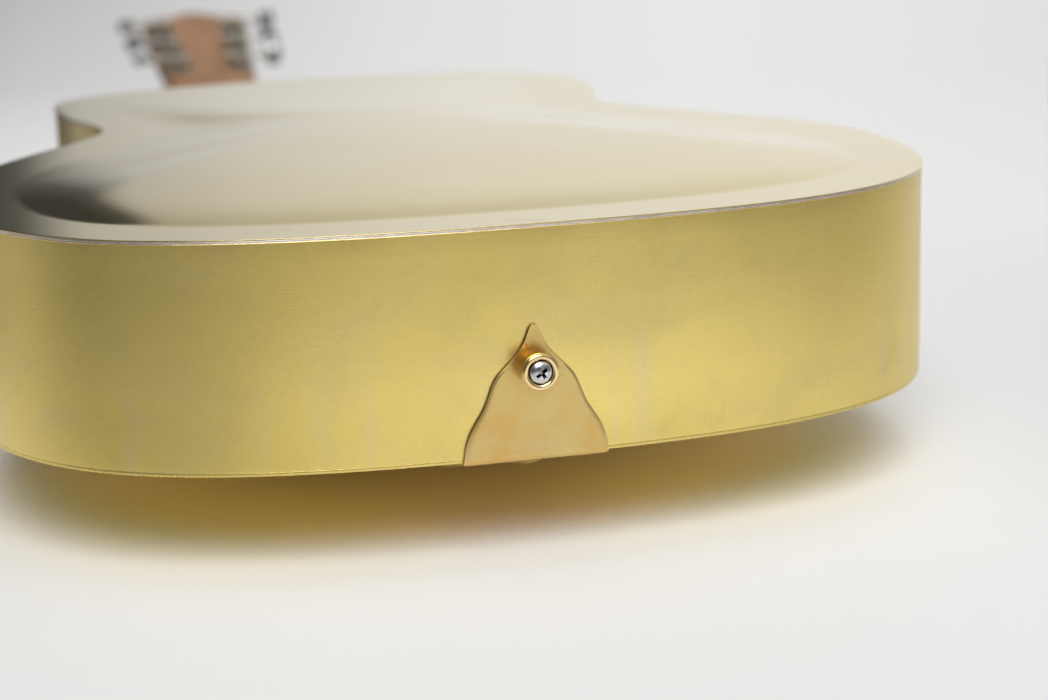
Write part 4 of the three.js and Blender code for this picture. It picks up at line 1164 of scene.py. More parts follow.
def find_tuners():
    """Each tuner's edge directions (along, out) and places in the head frame."""
    found = []
    for side in (1, -1):
        for k, station in enumerate(STATIONS):
            along = Vector((side * math.sin(EDGE_LEAN), math.cos(EDGE_LEAN), 0))
            out = Vector((side * math.cos(EDGE_LEAN), -math.sin(EDGE_LEAN), 0))
            edge = Vector((side * EDGE_X, EDGE_Y, 0)) + station * along
            found.append(SimpleNamespace(
                side=side, k=k, along=along, out=out, edge=edge, post=edge - POST_IN * out,
                tag=f"{SIDE_NAMES[side]}_{k + 1}"))
    return found


TUNERS = find_tuners()

# treble half of the head outline, (x, y) in the head frame; it breaks at the straight edge
HEAD_LOWER = [(23, -14), (23.6, 0), (25.6, 9), (28, 24), (EDGE_X, EDGE_Y)]
HEAD_UPPER = [(37.2, 156), (37.4, 161), (35.5, 164.6), (28, 166.4), (18, 168.6), (10, 173),
              (4.5, 175.4), (0, HEAD_LEN)]
HEAD_HALF = smooth_line(HEAD_LOWER, 6) + smooth_line(HEAD_UPPER, 6)


def mirrored(half):
    return half + [(-x, y) for x, y in reversed(half) if x > 1e-6]


# ---------------------------------------------------------------- neck
# (distance along, depth below the board) from the heel to the nut
NECK_DEPTHS = [(-4, 65.5), (3, 64.5), (10, 58), (17, 48), (26, 36.5), (38, 26.5), (54, 19.6),
               (76, 17.2), (180, 16.2), (300, 15.4), (NUT_BACK, 15.2)]
NECK_RINGS = [-4, 0, 3, 6.5, 10, 13.5, 17, 21, 26, 32, 38, 46, 54, 64, 76, 100, 130, 180, 240,
              300, 330, NUT_BACK]


def neck_shaft():
    rows = []
    for t in NECK_RINGS:
        half, depth = board_half(min(t, NUT_T)), spline_at(NECK_DEPTHS, t)
        flat = max(0.0, min(1.0, (depth - 22) / 20))    # the deep heel is flattened below
        limit = depth - 1.5 * flat
        ring = []
        for i in range(41):
            a = math.pi * i / 40
            c = math.cos(a)
            below = math.sin(a) ** 0.9 * depth
            if flat > 0 and below > limit - 1.0:
                below = limit - 1.0 + (below - limit + 1.0) * 0.45
            ring.append(on_neck(half * math.copysign(abs(c) ** 0.92, c), t, -below))
        ring += [on_neck(-half + 2 * half * i / 12, t, 0.0) for i in range(1, 12)]
        rows.append(ring)
    return fix_normals(grid_mesh("neck_shaft", rows, cap=True))


def board_tongue():
    """Wedge under the part of the board that lies over the body."""
    half = board_half(0) - 0.6
    y0, y1, low = BODY_LEN - 70, BODY_LEN + 12, 0.05
    z0, z1 = 1.4 + 70 * math.tan(NECK_TILT), 1.4 - 12.2 * math.tan(NECK_TILT)
    points = [(-half, y1, low), (half, y1, low), (half, y0, low), (-half, y0, low),
              (-half, y1, z1), (half, y1, z1), (half, y0, z0), (-half, y0, z0)]
    return raw_mesh("tongue", points, [(0, 1, 2, 3), (4, 7, 6, 5), (0, 4, 5, 1),
                                       (1, 5, 6, 2), (2, 6, 7, 3), (3, 7, 4, 0)])


def neck_wood():
    body = sheet_mesh("cut", [outline(-0.15)], -100, 0)
    shaft = boolean(neck_shaft(), [body])
    over_top = box_mesh("cut", -60, 60, 380, BODY_LEN + 0.3, 0.9, 30)
    shaft = boolean(fix_normals(shaft), [over_top])
    head = sheet_mesh("head", [mirrored(HEAD_HALF)], -HEAD_THICK, -VENEER, 1.1, 3, HEAD)
    nut_room = box_mesh("cut", -60, 60, 200, NUT_BACK, 0, 60, matrix=NECK)
    head = boolean(fix_normals(head), [nut_room])
    neck = boolean(shaft, [board_tongue()], "UNION")
    neck = boolean(neck, [head], "UNION")
    holes = [rod(POST_HOLE_R, -40, 20, 24, HEAD @ Matrix.Translation(t.post)) for t in TUNERS]
    neck = boolean(neck, [join("holes", holes)])
    to_object("neck_wood", neck, "mahogany", "neck", sharp=36)


def head_veneer():
    loops = [[(-23.8, 0.4), (23.8, 0.4)] + mirrored([p for p in HEAD_HALF if p[1] >= 5])]
    loops += [circle(t.post.x, t.post.y, POST_HOLE_R, 28) for t in TUNERS]
    mesh = sheet_mesh("head_veneer", loops, -VENEER + 0.03, 0, 0.3, 2, HEAD)
    to_object("head_veneer", mesh, "ebony", "headstock_veneer")


def finger_board():
    loop = [(-board_half(NUT_T), NUT_T), (board_half(NUT_T), NUT_T),
            (board_half(BOARD_END), BOARD_END), (-board_half(BOARD_END), BOARD_END)]
    to_object("finger_board", sheet_mesh("finger_board", [loop], 0.03, BOARD_T, 0.5, 3, NECK),
              "rosewood", "fretboard")


def frets():
    """Half-round bars whose crown falls away at both ends."""
    ends = [(0, 0.35), (0.25, 0.72), (0.8, 0.95), (1.6, 1.0)]   # (in from the end, height part)
    half_t = 1.25
    for n in range(1, FRETS + 1):
        t = fret_at(n)
        w = board_half(t) - 0.55
        section = [(-w + d, part) for d, part in ends] + [(0, 1.0)]
        section += [(w - d, part) for d, part in reversed(ends)]
        rows = []
        for x, part in section:
            ring = [on_neck(x, t - half_t, BOARD_T + 0.03)]
            for i in range(9):
                a = math.pi * i / 8
                ring.append(on_neck(x, t - half_t * math.cos(a),
                                    BOARD_T + 0.13 + 0.97 * part * math.sin(a)))
            ring.append(on_neck(x, t + half_t, BOARD_T + 0.03))
            rows.append(ring)
        to_object(f"fret_bar_{n:02d}", grid_mesh("fret", rows, cap=True), "fret",
                  f"fret_{n:02d}", sharp=50)


def board_dots():
    profile = [(0, BOARD_T + 0.06), (2.6, BOARD_T + 0.06), (3.1, BOARD_T + 0.0),
               (3.1, BOARD_T - 0.3), (0, BOARD_T - 0.3)]
    for n, places in ((5, (0,)), (7, (0,)), (9, (0,)), (12, (-12, 12)), (15, (0,)), (17, (0,))):
        t = (fret_at(n) + fret_at(n - 1)) / 2
        for i, x in enumerate(places):
            at = NECK @ Matrix.Translation((x, t, 0))
            to_object(f"board_dot_{n}_{i}", lathe_mesh("dot", profile, 32, at), "pearl")


def string_places(pitch):
    return [k * pitch for k in (-2.5, -1.5, -0.5, 0.5, 1.5, 2.5)]


NUT_XS, SADDLE_XS, TAIL_XS = string_places(7.2), string_places(10.2), string_places(8.8)


def nut():
    # (along, height) section, swept across the neck
    section = [(NUT_T + 0.05, 0.02), (NUT_T + 5.1, 0.02), (NUT_T + 5.1, 6.3), (NUT_T + 4.6, 7.0),
               (NUT_T + 3.2, NUT_TOP), (NUT_T + 0.7, NUT_TOP), (NUT_T + 0.05, 6.9)]
    across = basis((0, 1, 0), (0, 0, 1), (1, 0, 0), (0, 0, 0))
    mesh = sheet_mesh("nut", [section], -NUT_W / 2, NUT_W / 2, 0.25, 2, NECK @ across)
    grooves = [tube_mesh("cut", [on_neck(x, NUT_T - 2, NUT_TOP + r + 0.05),
                                 on_neck(x, NUT_T + 8, NUT_TOP + r + 0.02)], r + 0.28)
               for x, r in zip(NUT_XS, STRING_RADII)]
    to_object("nut_bone", boolean(fix_normals(mesh), [join("c", grooves)]), "bone",
              "nut")


def saddle():
    mesh = box_mesh("saddle", -27, 27, BRIDGE_Y - 2.5, BRIDGE_Y + 2.5, BISCUIT_SLOT, SADDLE_TOP,
                    bevel=0.5, steps=3)
    grooves = [tube_mesh("cut", [(x, BRIDGE_Y - 6, SADDLE_TOP + r + 0.02),
                                 (x, BRIDGE_Y + 6, SADDLE_TOP + r + 0.02)], r + 0.22)
               for x, r in zip(SADDLE_XS, STRING_RADII)]
    to_object("saddle_strip", boolean(fix_normals(mesh), [join("c", grooves)]), "maple_cross",
              "saddle")


# ---------------------------------------------------------------- tailpiece
# (half width, z) of the bell-shaped plate on the butt, from its tip to the fold
BELL = [(0.0, -44.7), (0.75, -44.45), (1.5, -43.6), (2.15, -42.2), (2.95, -40.2), (4.35, -37.5),
        (6.4, -34.8), (9.4, -31.7), (12.6, -28.3), (14.5, -25), (15.9, -21.3), (17.6, -17.4),
        (19.7, -14), (21.7, -10.7), (23.2, -7.2), (24.1, -3.7), (24.6, 0.4)]
BELL_HALF = [(z, half) for half, z in smooth_line(BELL, 8)]
# (y, z) of the outer face of the string plate, from the fold to its far lip
STRING_PLATE = [(3.0, 1.25), (5.5, 1.25), (7.0, 1.35), (8.6, 1.8), (11, 2.8), (14, 4.1),
                (17, 5.4), (19, 6.2), (20.6, 6.65), (22.5, 6.85), (26, 6.95), (32, 7.05),
                (38, 7.15), (43, 7.2), (45.5, 7.0), (47, 6.5), (48.2, 5.7)]
# (y, half width) of the string plate
STRING_PLATE_HALF = [(3, 24.6), (6, 24.6), (22, 26.5), (36, 29.5), (44, 29.5), (48.3, 26.5)]


def tail_path():
    """(y, z, normal y, normal z) of the outer face, from the tip over the fold to the lip."""
    path = [(TAIL_Y, -44.7 + 0.25 * i * i / 6 + 0.001, -1.0, 0.0) for i in range(7)]
    path += [(TAIL_Y, -42.75 + 0.75 * k, -1.0, 0.0) for k in range(55)]
    fold_r = 2.6
    for i in range(13):
        a = math.pi / 2 * i / 12
        path.append((TAIL_Y + fold_r - fold_r * math.cos(a),
                     1.25 - fold_r + fold_r * math.sin(a), -math.cos(a), math.sin(a)))
    for i, (y, z) in enumerate(STRING_PLATE):
        y0, z0 = STRING_PLATE[max(0, i - 1)]
        y1, z1 = STRING_PLATE[min(len(STRING_PLATE) - 1, i + 1)]
        length = math.hypot(y1 - y0, z1 - z0)
        path.append((y, z, -(z1 - z0) / length, (y1 - y0) / length))
    return path


def tail_half(y, z):
    if y < 3 and z < 0.4:
        return max(0.05, linear_at(BELL_HALF, z))
    return linear_at(STRING_PLATE_HALF, y)


def bead_height(x, y):
    """Raised bead along the centre line, from the fold onto the string plate."""
    half, top = 5.2, 2.7
    if y < 2.4 or y > 27 or abs(x) > half:
        return 0.0
    if y < 13:
        lift = top * smoothstep(1.2, 8.5, y)
    else:
        lift = top * max(0.0, (27 - y) / 14) ** 1.2
    if 7 < y < 20:
        lift *= 1 - 0.35 * (y - 7) / 13
    return lift * math.cos(math.pi / 2 * x / half) ** 0.8


def tail_plate():
    columns = 40
    rows = []
    for y, z, ny, nz in tail_path():
        half = tail_half(y, z)
        narrowing = 0.985 if half > 4 else 0.9
        outer, inner = [], []
        for k in range(columns + 1):
            t = -1 + 2 * k / columns
            x = half * t
            bead = bead_height(x, y)
            roll = 0.28 * max(0.0, (abs(t) - 0.965) / 0.035) ** 2
            outer.append(Vector((x, y + ny * (bead - roll), z + nz * (bead - roll))))
            inner.append(Vector((x * narrowing, y - ny * (TAIL_T - bead),
                                 z - nz * (TAIL_T - bead))))
        rows.append(outer + inner[::-1])
    mesh = fix_normals(grid_mesh("tail_plate", rows, cap=True))
    cuts = [rod(1.2, -6, 20, 20, Matrix.Translation((x, TAIL_HOLE_Y, 0))) for x in TAIL_XS]
    cuts.append(rod(PIN_HOLE_R, -1, 4, 28, PIN))
    to_object("tail_plate", boolean(mesh, [join("c", cuts)]), "tail",
              "tailpiece", sharp=34)


# ---------------------------------------------------------------- strap button and its screw
def strap_pin():
    foot = -TAIL_Y + 0.05
    profile = [(2.3, foot), (3.5, foot)] + arc_points(3.5, foot + 0.3, 0.3, -90, 60, 5)
    profile += [(3.35, foot + 1.4), (3.1, foot + 2.6), (3.05, foot + 3.8), (3.3, foot + 4.7),
                (4.0, foot + 5.25)]
    profile += arc_points(5.3, 7.3, 1.0, -80, 0, 7) + [(6.3, 7.7)]
    profile += arc_points(5.1, 8.1, 1.2, 0, 172, 16) + [(3.84, 8.0), (2.3, 8.0)]
    to_object("strap_pin", lathe_mesh("strap_pin", profile, 96, PIN), "pin",
              "strap_button", sharp=50)


def cross_arm(turn):
    """One tapered arm of the cross recess."""
    frame = PIN @ Matrix.Rotation(turn, 4, "Z")
    points = []
    for z, half_x, half_y in ((8.1, 1.1, 0.42), (11.5, 2.85, 0.70)):
        for sx, sy in ((-1, -1), (1, -1), (1, 1), (-1, 1)):
            points.append(frame @ Vector((sx * half_x, sy * half_y, z)))
    return raw_mesh("cut", points, [(3, 2, 1, 0), (4, 5, 6, 7), (0, 1, 5, 4),
                                    (1, 2, 6, 5), (2, 3, 7, 6), (3, 0, 4, 7)])


def pin_screw():
    profile = [(0, 10.35)]
    for i in range(1, 13):
        a = math.pi / 2 * i / 12
        profile.append((3.74 * math.sin(a), 8.75 + 1.6 * math.cos(a)))
    profile += [(3.5, 8.45), (3.3, 8.3), (1.8, 8.25), (1.8, -18), (0, -21)]
    mesh = fix_normals(lathe_mesh("pin_screw", profile, 72, PIN))
    mesh = boolean(mesh, [cross_arm(0.62), cross_arm(0.62 + math.pi / 2)])
    to_object("pin_screw", mesh, "pin_steel", "strap_screw", sharp=40)


# ---------------------------------------------------------------- strings
STRING_NODES = ["string_6_low_e", "string_5_a", "string_4_d", "string_3_g", "string_2_b",
                "string_1_high_e"]
WRAP_HEIGHTS = (3.2, 6.0, 8.0)      # above the head's face, for each tuner station
BALL = [(0.8, -1.5), (1.75, -1.5), (1.9, -1.2), (1.5, 0), (1.9, 1.2), (1.75, 1.5), (0.8, 1.5)]


def string(i):
    r = STRING_RADII[i]
    number = 6 - i
    side, k = (-1, i) if i < 3 else (1, 5 - i)
    tuner = next(t for t in TUNERS if t.side == side and t.k == k)
    wrap_h = WRAP_HEIGHTS[k]
    material, slot = ("wound", "wound_string") if i < 4 else ("plain", "plain_string")

    def round_post(radius, angle, h):
        return HEAD @ (tuner.post + Vector((-side * radius * math.cos(angle),
                                            radius * math.sin(angle), h)))

    tail_x = TAIL_XS[i]
    tail = [Vector((tail_x, TAIL_HOLE_Y, 4.2)), Vector((tail_x, 41.0, 6.6)),
            Vector((tail_x, 42.0, 7.2 + 0.1 + r + 0.12))]
    saddle0, saddle1 = (Vector((SADDLE_XS[i], BRIDGE_Y + dy, SADDLE_TOP + r + 0.06))
                        for dy in (-2, 2))
    nut0 = on_neck(NUT_XS[i], NUT_T + 0.6, NUT_TOP + r + 0.06)
    nut1 = on_neck(NUT_XS[i], NUT_T + 4.6, NUT_TOP + r + 0.02)
    wrap = [round_post(POST_R + r + 0.10, math.radians(70) * j / 8, wrap_h) for j in range(9)]
    points = tail + [(tail[-1] + saddle0) / 2, saddle0 - Vector((0, 0.8, 0.08)), saddle0,
                     saddle1, saddle1 + Vector((0, 1.0, -0.04))]
    points += [saddle1.lerp(nut0, part) for part in (0.25, 0.5, 0.75)]
    points += [nut0, nut1, nut1.lerp(wrap[0], 0.5)] + wrap
    to_object(f"wire_{number}", tube_mesh("wire", points, r), material,
              STRING_NODES[i], sharp=60)
    at = Matrix.Translation((tail_x, TAIL_HOLE_Y, 3.6)) @ Matrix.Rotation(math.pi / 2, 4, "Y")
    to_object(f"ball_end_{number}", lathe_mesh("ball", BALL, 24, at), "screw_dark")
    # turns of wire on the post, riding with it
    turns, coil = 2.5, []
    for j in range(73):
        t = j / 72
        coil.append(round_post(POST_R + r + 0.05, 2 * math.pi * turns * t,
                               wrap_h + 2.2 * r * (1.0 + turns * t)))
    to_object(f"winding_{number}", tube_mesh("coil", coil, r, 10), material,
              body=f"post_{tuner.tag}", sharp=60)


# ---------------------------------------------------------------- tuners
WORM_H = 4.0        # worm axis out from the rear face of the head
WORM_R = 1.45
WORM_LEAD = 2.55
# (distance out from the head's edge, radius) on either side of the thread
WORM_START = [(-18.6, 1.2), (-18.4, WORM_R), (-15.1, WORM_R)]
WORM_END = [(-3.5, WORM_R), (4.6, WORM_R), (5.0, 2.3), (5.5, 2.75), (6.2, 2.35), (8.6, 2.9),
            (9.6, 2.9)]
# (along the edge, outward) outline of the base strip
STRIP = [(7, -16.8), (7.6, -17.9), (9, -18.4), (99, -18.4), (100.4, -17.9), (101, -16.8),
         (101, -2.1), (100.5, -1.0), (99.5, -0.6), (8.5, -0.6), (7.5, -1.0), (7, -2.1)]


def tuner_strip(side):
    """Base strip behind the head, with two folded ears for each worm shaft."""
    first = next(t for t in TUNERS if t.side == side)
    frame = HEAD_BACK @ basis(first.along, first.out, (0, 0, 1), (side * EDGE_X, EDGE_Y, 0))
    holes = [circle(u, -POST_IN, POST_HOLE_R, 24) for u in STATIONS]
    parts = [sheet_mesh("strip", [STRIP] + holes, 0.03, 1.0, 0.2, 2)]
    ear_r = 2.9
    angles = [math.pi * q / 12 for q in range(13)]
    ear = [(-ear_r, 0.6), (ear_r, 0.6)]
    ear += [(ear_r * math.cos(a), WORM_H + ear_r * math.sin(a)) for a in angles]
    for u in STATIONS:
        for v in (-16.6, -2.0):
            stand = basis((1, 0, 0), (0, 0, 1), (0, -1, 0), (u + AXIS_GAP, v, 0))
            parts.append(sheet_mesh("ear", [ear, circle(0, WORM_H, 1.85, 20)],
                                    -1.1, 1.1, 0.18, 2, stand))
    name = SIDE_NAMES[side]
    to_object(f"tuner_strip_{name}", place(join("tuner_strip", parts), frame), "nickel",
              f"tuner_plate_{name}", sharp=35)
    for j, u in enumerate((10.5, 40.5, 72.5, 97.5)):
        at = frame @ Matrix.Translation((u, -9.5, 0.95))
        slotted_head(f"strip_screw_{name}_{j + 1}", 1.9, 1.1, at, "screw",
                     turn=0.9 * j + side)


def gear_mesh(matrix):
    """Gear wheel with rounded trapezoid teeth."""
    # (place within the tooth pitch, part of the tooth height)
    tooth = [(-0.46, 0.0), (-0.34, 0.12), (-0.20, 0.85), (-0.12, 1.0), (0.12, 1.0),
             (0.20, 0.85), (0.34, 0.12), (0.46, 0.0)]
    loop = []
    for i in range(TEETH):
        for shift, part in tooth:
            a = (i + shift) * 2 * math.pi / TEETH
            r = GEAR_R - 1.1 + 1.1 * part
            loop.append((r * math.cos(a), r * math.sin(a)))
    return sheet_mesh("gear", [loop], 2.4, 5.6, 0.12, 1, matrix)


def post_barrel(tuner, frame):
    """Turned post with a waist where the wire sits, and a cross hole there."""
    face, tip = -HEAD_THICK, -HEAD_THICK - 13
    profile = [(0, 2.6), (POST_R, 2.6), (POST_R, face - 1.2), (POST_R - 0.25, face - 2.6),
               (POST_R - 0.3, face - 8.6), (POST_R - 0.05, face - 10.4), (POST_R, face - 11.4),
               (POST_R - 0.15, tip + 0.5), (POST_R - 0.7, tip + 0.08), (0, tip)]
    across = Matrix.Translation((0, 0, face - 8.5)) @ Matrix.Rotation(math.pi / 2, 4, "X")
    mesh = boolean(fix_normals(lathe_mesh("barrel", profile, 40)),
                   [rod(0.9, -5, 5, 20, across)])
    to_object(f"post_barrel_{tuner.tag}", place(mesh, frame), "nickel",
              f"tuner_post_{tuner.tag}", body=f"post_{tuner.tag}")


def thread_radius(z, turn):
    phase = (z / WORM_LEAD - turn) % 1.0
    ridge = max(0.0, 1 - abs(phase - 0.5) / 0.30)
    runout = min(1.0, (z + 15.05) / 0.8, (-3.55 - z) / 0.8)
    return WORM_R + 0.68 * min(1.0, ridge * 1.5) * runout


def worm_shaft(tuner, frame):
    segments = 24
    thread = [(-15.0 + 11.4 * q / 76, None) for q in range(77)]
    rows = []
    for z, radius in WORM_START + thread + WORM_END:
        ring = []
        for q in range(segments):
            a = 2 * math.pi * q / segments
            r = radius or thread_radius(z, a / (2 * math.pi))
            ring.append(frame @ Vector((r * math.cos(a), r * math.sin(a), z)))
        rows.append(ring)
    to_object(f"worm_shaft_{tuner.tag}", grid_mesh("worm", rows, cap=True), "nickel",
              body=f"button_{tuner.tag}", sharp=45)


def knob(tuner, frame):
    """Oval cushion-shaped button with a soft rim."""
    turned = frame @ Matrix.Rotation(math.radians(KNOB_TURN[tuner.side][tuner.k]), 4, "Z")
    rows = []
    for j in range(1, 26):
        phi = math.pi * j / 26
        s, c = math.sin(phi), -math.cos(phi)
        z = KNOB_AT + 6.0 * math.copysign(abs(c) ** 0.95, c)
        ring = []
        for q in range(40):
            a = 2 * math.pi * q / 40
            x = 8.6 * s ** 0.80 * math.cos(a)
            y = 3.25 * s ** 0.45 * math.sin(a) * (1 - 0.30 * abs(math.cos(a)) ** 3)
            ring.append(turned @ Vector((x, y, z)))
        rows.append(ring)
    to_object(f"knob_{tuner.tag}", grid_mesh("knob", rows, cap=True), "button",
              f"tuner_button_{tuner.tag}", body=f"button_{tuner.tag}", sharp=60)


def build_tuner(tuner):
    post_body = f"post_{tuner.tag}"
    rear = HEAD_BACK @ Matrix.Translation(tuner.post)
    post_barrel(tuner, rear)
    to_object(f"gear_wheel_{tuner.tag}", gear_mesh(rear), "gear",
              body=post_body)
    slotted_head(f"gear_screw_{tuner.tag}", 2.1, 1.15, rear @ Matrix.Translation((0, 0, 5.6)),
                 "screw", turn=0.4 + 1.1 * tuner.k, body=post_body)
    # bushing in the front of the head: (clearance over the post, z)
    bush = [(0.12, -VENEER), (0.3, -VENEER), (0.3, 0.02), (2.4, 0.02), (2.5, 0.3), (1.9, 0.75),
            (0.9, 0.95), (0.2, 0.8), (0.12, 0.6)]
    mesh = lathe_mesh("bush", [(POST_R + gap, z) for gap, z in bush], 48,
                      HEAD @ Matrix.Translation(tuner.post))
    to_object(f"bushing_{tuner.tag}", mesh, "nickel")
    # worm frame: local z runs outboard
    origin = tuner.edge + AXIS_GAP * tuner.along + Vector((0, 0, -HEAD_THICK - WORM_H))
    worm = HEAD @ basis(tuner.along, Vector((0, 0, tuner.side)), tuner.out, origin)
    worm_shaft(tuner, worm)
    knob(tuner, worm)


# ---------------------------------------------------------------- inside the body
def inner_blocks():
    """A new upper support block; the other inner pieces are softened CAD nodes."""
    low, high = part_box("stick_support_upper")
    mesh = box_mesh("support_block_upper", low.x / MM, high.x / MM, low.y / MM, high.y / MM,
                    BACK_Z - 2.0, high.z / MM, bevel=0.5)
    to_object("support_block_upper", mesh, "maple", "stick_support_upper")
    for name, material, width in (("neck_stick", "maple", 0.8),
                                  ("stick_support_lower", "maple", 0.5),
                                  ("biscuit_screw", "screw", 0.2)):
        piece = NODES[name]
        piece.data.materials.clear()
        piece.data.materials.append(M[material])
        bevel = piece.modifiers.new("soft", "BEVEL")
        bevel.width = width * MM
        bevel.segments = 2
        bevel.limit_method = "ANGLE"
        bevel.angle_limit = math.radians(35)


# ---------------------------------------------------------------- stage
# The guitar rests face down or face up, as the camera stands; see Nodes.flipped.
def floor_material(name, z, when_flipped):
    tone = (0.815, 0.813, 0.808)
    m = Mat(name)
    show = m.flipped()
    if not when_flipped:
        show = m.sub(1.0, show)
    cloud = m.noise(m.coords(), scale=3.2, detail=3, rough=0.5)
    fine = m.noise(m.coords(), scale=420, detail=3, rough=0.6)
    color = m.mix(m.span(cloud, over=(0.3, 0.7)), scaled(tone, 0.985), tone)
    # darker on the bass side by the butt
    at = m.split(m.coords())
    corner = m.mul(m.span(at["X"], over=(-0.15, -0.50), to=(0, 0.75)),
                   m.span(at["Y"], over=(0.50, 0.15)))
    color = m.mix(corner, color, scaled(tone, 0.74))
    if when_flipped:
        # warm oval under the body
        oval = m.vector("LENGTH", m.coords(scale=(1 / 0.181, 1 / 0.19, 0), loc=(0, -1, 0)))
        color = m.mix(m.span(oval, over=(0.90, 0.76)), color, (1.0, 0.865, 0.83))
    m.surface(color=color, rough=m.span(fine, over=(0.3, 0.7), to=(0.55, 0.65)), metal=0.0,
              spec=0.25, normal=m.bump(fine, strength=0.05, distance=0.0001))
    # far away it melts into the backdrop; to mirror reflections it ends close to the guitar
    position = m.node("ShaderNodeTexCoord").outputs["Object"]
    distance = m.vector("DISTANCE", position, (0, 0.25, z * MM))
    path = m.node("ShaderNodeLightPath").outputs
    far = m.mul(m.math("POWER", m.span(distance, over=(0.42, 1.30)), 1.2),
                path["Is Camera Ray"])
    near = m.mul(m.span(distance, over=(0.30, 0.40)), path["Is Glossy Ray"])
    gone = m.sub(1.0, m.mul(show, m.sub(1.0, m.math("MAXIMUM", far, near))))
    clear = m.node("ShaderNodeBsdfTransparent").outputs[0]
    mixed = m.node("ShaderNodeMixShader", {0: gone, 1: m.shader.outputs[0], 2: clear})
    m.feed(m.tree.nodes["Material Output"].inputs["Surface"], mixed.outputs[0])
    return m.material


def floor(name, z, when_flipped):
    """Round sheet with a small hole at its middle, seen only one way up."""
    count, rings = 96, 48
    rows = []
    for j in range(rings + 1):
        r = 1800.0 * (j / rings) ** 1.6 + 0.5
        angles = [2 * math.pi * i / count for i in range(count)]
        rows.append([Vector((r * math.cos(a), 300 + r * math.sin(a), z)) for a in angles])
    mesh = grid_mesh(name, rows)
    made = bpy.data.objects.new(name, mesh)
    bpy.context.scene.collection.objects.link(made)
    mesh.materials.append(floor_material(name, z, when_flipped))


# light level round the horizon: (azimuth in degrees, level); 0 is +Y, positive towards +X
HORIZON = [
    (-180, 0.80), (-165, 0.87), (-152, 0.84), (-140, 0.72), (-125, 0.63), (-100, 0.63),
    (-70, 0.74), (-36, 0.88), (-21, 0.87), (-13, 0.81), (-7.4, 0.68), (-4, 0.55),
    (-2.1, 0.46), (-1.8, 0.38), (-1.58, 0.29), (-1.40, 0.09), (-1.2, 0.05), (8, 0.05),
    (25, 0.08), (40, 0.42), (56, 0.62), (75, 0.56), (90, 0.40), (112, 0.29), (130, 0.28),
    (150, 0.43), (165, 0.63), (180, 0.80)]
# factor from straight down (0) to straight up (1), towards -Y and towards +Y
RISE_BUTT = [(0.0, 1.15), (0.33, 1.58), (0.375, 1.52), (0.40, 1.08), (0.43, 0.70), (0.48, 0.38),
             (0.58, 0.28), (0.75, 0.36), (1.0, 0.50)]
RISE_HEAD = [(0.0, 1.0), (0.62, 1.0), (0.68, 0.95), (0.75, 0.76), (0.85, 0.50), (1.0, 0.50)]
# backdrop level across the view, left to right
BACKDROP = [(0.0, 0.47), (0.02, 0.50), (0.20, 0.62), (0.38, 0.745), (0.65, 0.81), (0.85, 0.79),
            (1.0, 0.755)]


def lobe(w, facing, towards, inner, outer, level):
    """Soft round source: direction in (x, y, up), half angles in degrees."""
    dot = w.vector("DOT_PRODUCT", facing, Vector(towards).normalized())
    f = w.span(dot, over=(math.cos(math.radians(outer)), math.cos(math.radians(inner))))
    f = w.mul(w.mul(f, f), w.sub(3.0, w.mul(f, 2.0)))
    return w.mul(f, level)


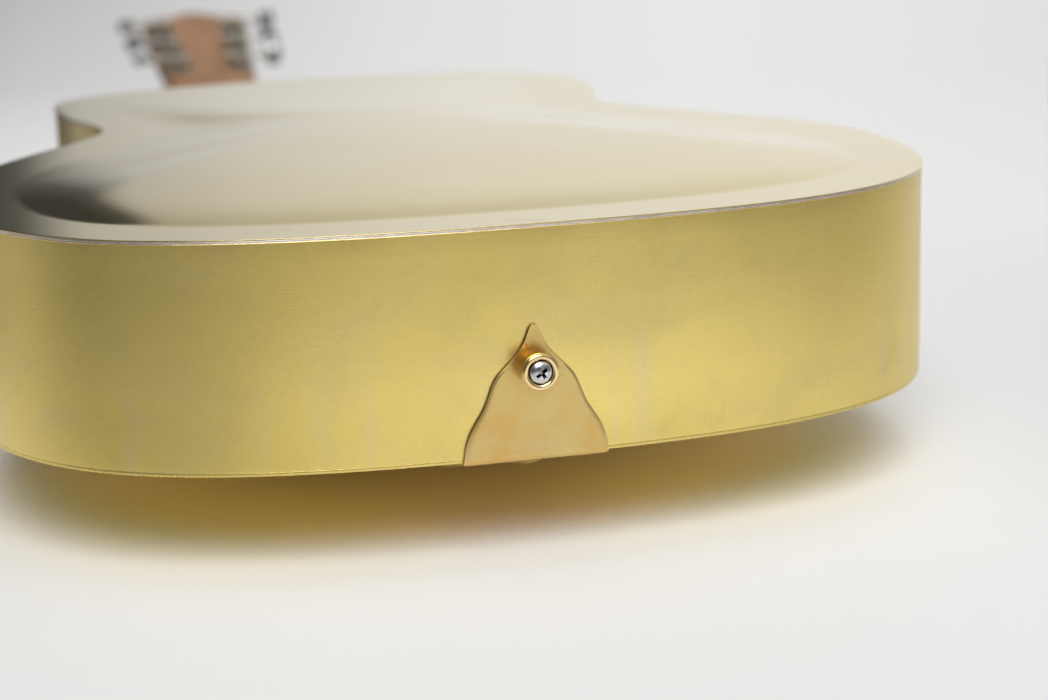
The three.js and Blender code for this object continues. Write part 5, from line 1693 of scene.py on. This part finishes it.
def build_world():
    world = bpy.data.worlds.new("studio")
    bpy.context.scene.world = world
    world.use_nodes = True
    w = Nodes(world.node_tree)
    w.tree.nodes.clear()
    flip = w.flipped()
    source = w.node("ShaderNodeTexCoord").outputs
    ray = w.split(source["Generated"])
    up = w.mul(ray["Z"], w.sub(1.0, w.mul(flip, 2.0)))
    facing = w.node("ShaderNodeCombineXYZ", {0: ray["X"], 1: ray["Y"], 2: up}).outputs[0]

    # walls: level round the horizon times the change with height
    azimuth = w.math("DIVIDE", w.math("ARCTAN2", ray["X"], ray["Y"]), 2 * math.pi)
    band = w.ramp(w.add(azimuth, 0.5), [(0.5 + a / 360.0, level) for a, level in HORIZON])
    height = w.add(w.mul(up, 0.5), 0.5)
    rise = w.mix(w.span(ray["Y"], over=(0.25, -0.35)),
                 w.ramp(height, RISE_HEAD), w.ramp(height, RISE_BUTT))
    walls = w.node("ShaderNodeRGBToBW", {0: w.shade(band, rise)}).outputs[0]
    key = lobe(w, facing, (0.15, -0.85, 1.0), inner=9, outer=27, level=7.75)
    low = lobe(w, facing, (0.74, -0.62, -0.36), inner=6, outer=24, level=0.12)
    fill = lobe(w, facing, (-0.55, -0.35, 0.75), inner=8, outer=30, level=0.5)
    tint = w.mix(w.span(up, over=(-0.2, 1.0)), (1.0, 0.995, 0.985), (0.985, 0.99, 1.0))
    light = w.node("ShaderNodeBackground", {
        "Color": tint, "Strength": w.add(w.add(walls, low), w.add(key, fill))})

    # the backdrop seen directly: uneven when flipped, even otherwise
    window = w.split(source["Window"])
    corner = w.mul(w.span(window["Y"], over=(1.0, 0.80)),
                   w.span(window["X"], over=(0.45, 0.0), to=(0.0, 0.14)))
    uneven = w.add(w.ramp(window["X"], BACKDROP), corner)
    level = w.add(w.mul(flip, uneven), w.mul(w.sub(1.0, flip), 0.80))
    # first colour only; raise the amount to move to plain white
    backdrop_tint = w.mix(0.0, (1.0, 0.995, 0.992), (1, 1, 1))
    seen = w.node("ShaderNodeBackground", {"Color": backdrop_tint, "Strength": level})
    mixed = w.node("ShaderNodeMixShader", {
        0: w.ray("Camera"), 1: light.outputs[0], 2: seen.outputs[0]})
    w.node("ShaderNodeOutputWorld", {"Surface": mixed.outputs[0]})


def build_camera():
    """Starts looking along +Y with -Z up, then yaws, pitches and rolls (radians)."""
    yaw, pitch, roll = 0.249815, -0.233141, -0.029580
    position = Vector((173.3680, -666.5852, -199.6759))
    right, up, ahead = Vector((-1, 0, 0)), Vector((0, 0, -1)), Vector((0, 1, 0))
    ahead, right = (math.cos(yaw) * ahead + math.sin(yaw) * right,
                    math.cos(yaw) * right - math.sin(yaw) * ahead)
    ahead, up = (math.cos(pitch) * ahead + math.sin(pitch) * up,
                 math.cos(pitch) * up - math.sin(pitch) * ahead)
    right, up = (math.cos(roll) * right + math.sin(roll) * up,
                 math.cos(roll) * up - math.sin(roll) * right)
    lens = bpy.data.cameras.new("camera")
    lens.sensor_fit = "HORIZONTAL"
    lens.sensor_width = 36.0
    lens.lens = 75.0369847
    lens.clip_start, lens.clip_end = 0.02, 60
    camera = bpy.data.objects.new("camera", lens)
    bpy.context.scene.collection.objects.link(camera)
    camera.matrix_world = basis(right, up, -ahead, position * MM)
    bpy.context.scene.camera = camera
    focus = bpy.data.objects.new("focus", None)
    bpy.context.scene.collection.objects.link(focus)
    focus.location = (0.0, -0.003, -0.034)
    lens.dof.use_dof = True
    lens.dof.focus_object = focus
    lens.dof.aperture_fstop = 8.0
    view = bpy.context.scene.view_settings
    view.view_transform = "Standard"
    view.look = "None"
    view.exposure = 0.0


# ---------------------------------------------------------------- build
for build in (back_plate, solder_line, side_wall, side_lip, top_plate, resonator, cover_plate,
              hand_rest, neck_wood, head_veneer, finger_board, frets, board_dots, nut, saddle,
              tail_plate, strap_pin, pin_screw):
    build()
for index in range(6):
    string(index)
for side in (1, -1):
    tuner_strip(side)
for tuner in TUNERS:
    build_tuner(tuner)
inner_blocks()
floor("table_over_face", 35.2, when_flipped=True)
floor("table_under_back", -BODY_DEPTH - BACK_CROWN - 0.6, when_flipped=False)
build_world()
build_camera()

bpy.context.view_layer.update()
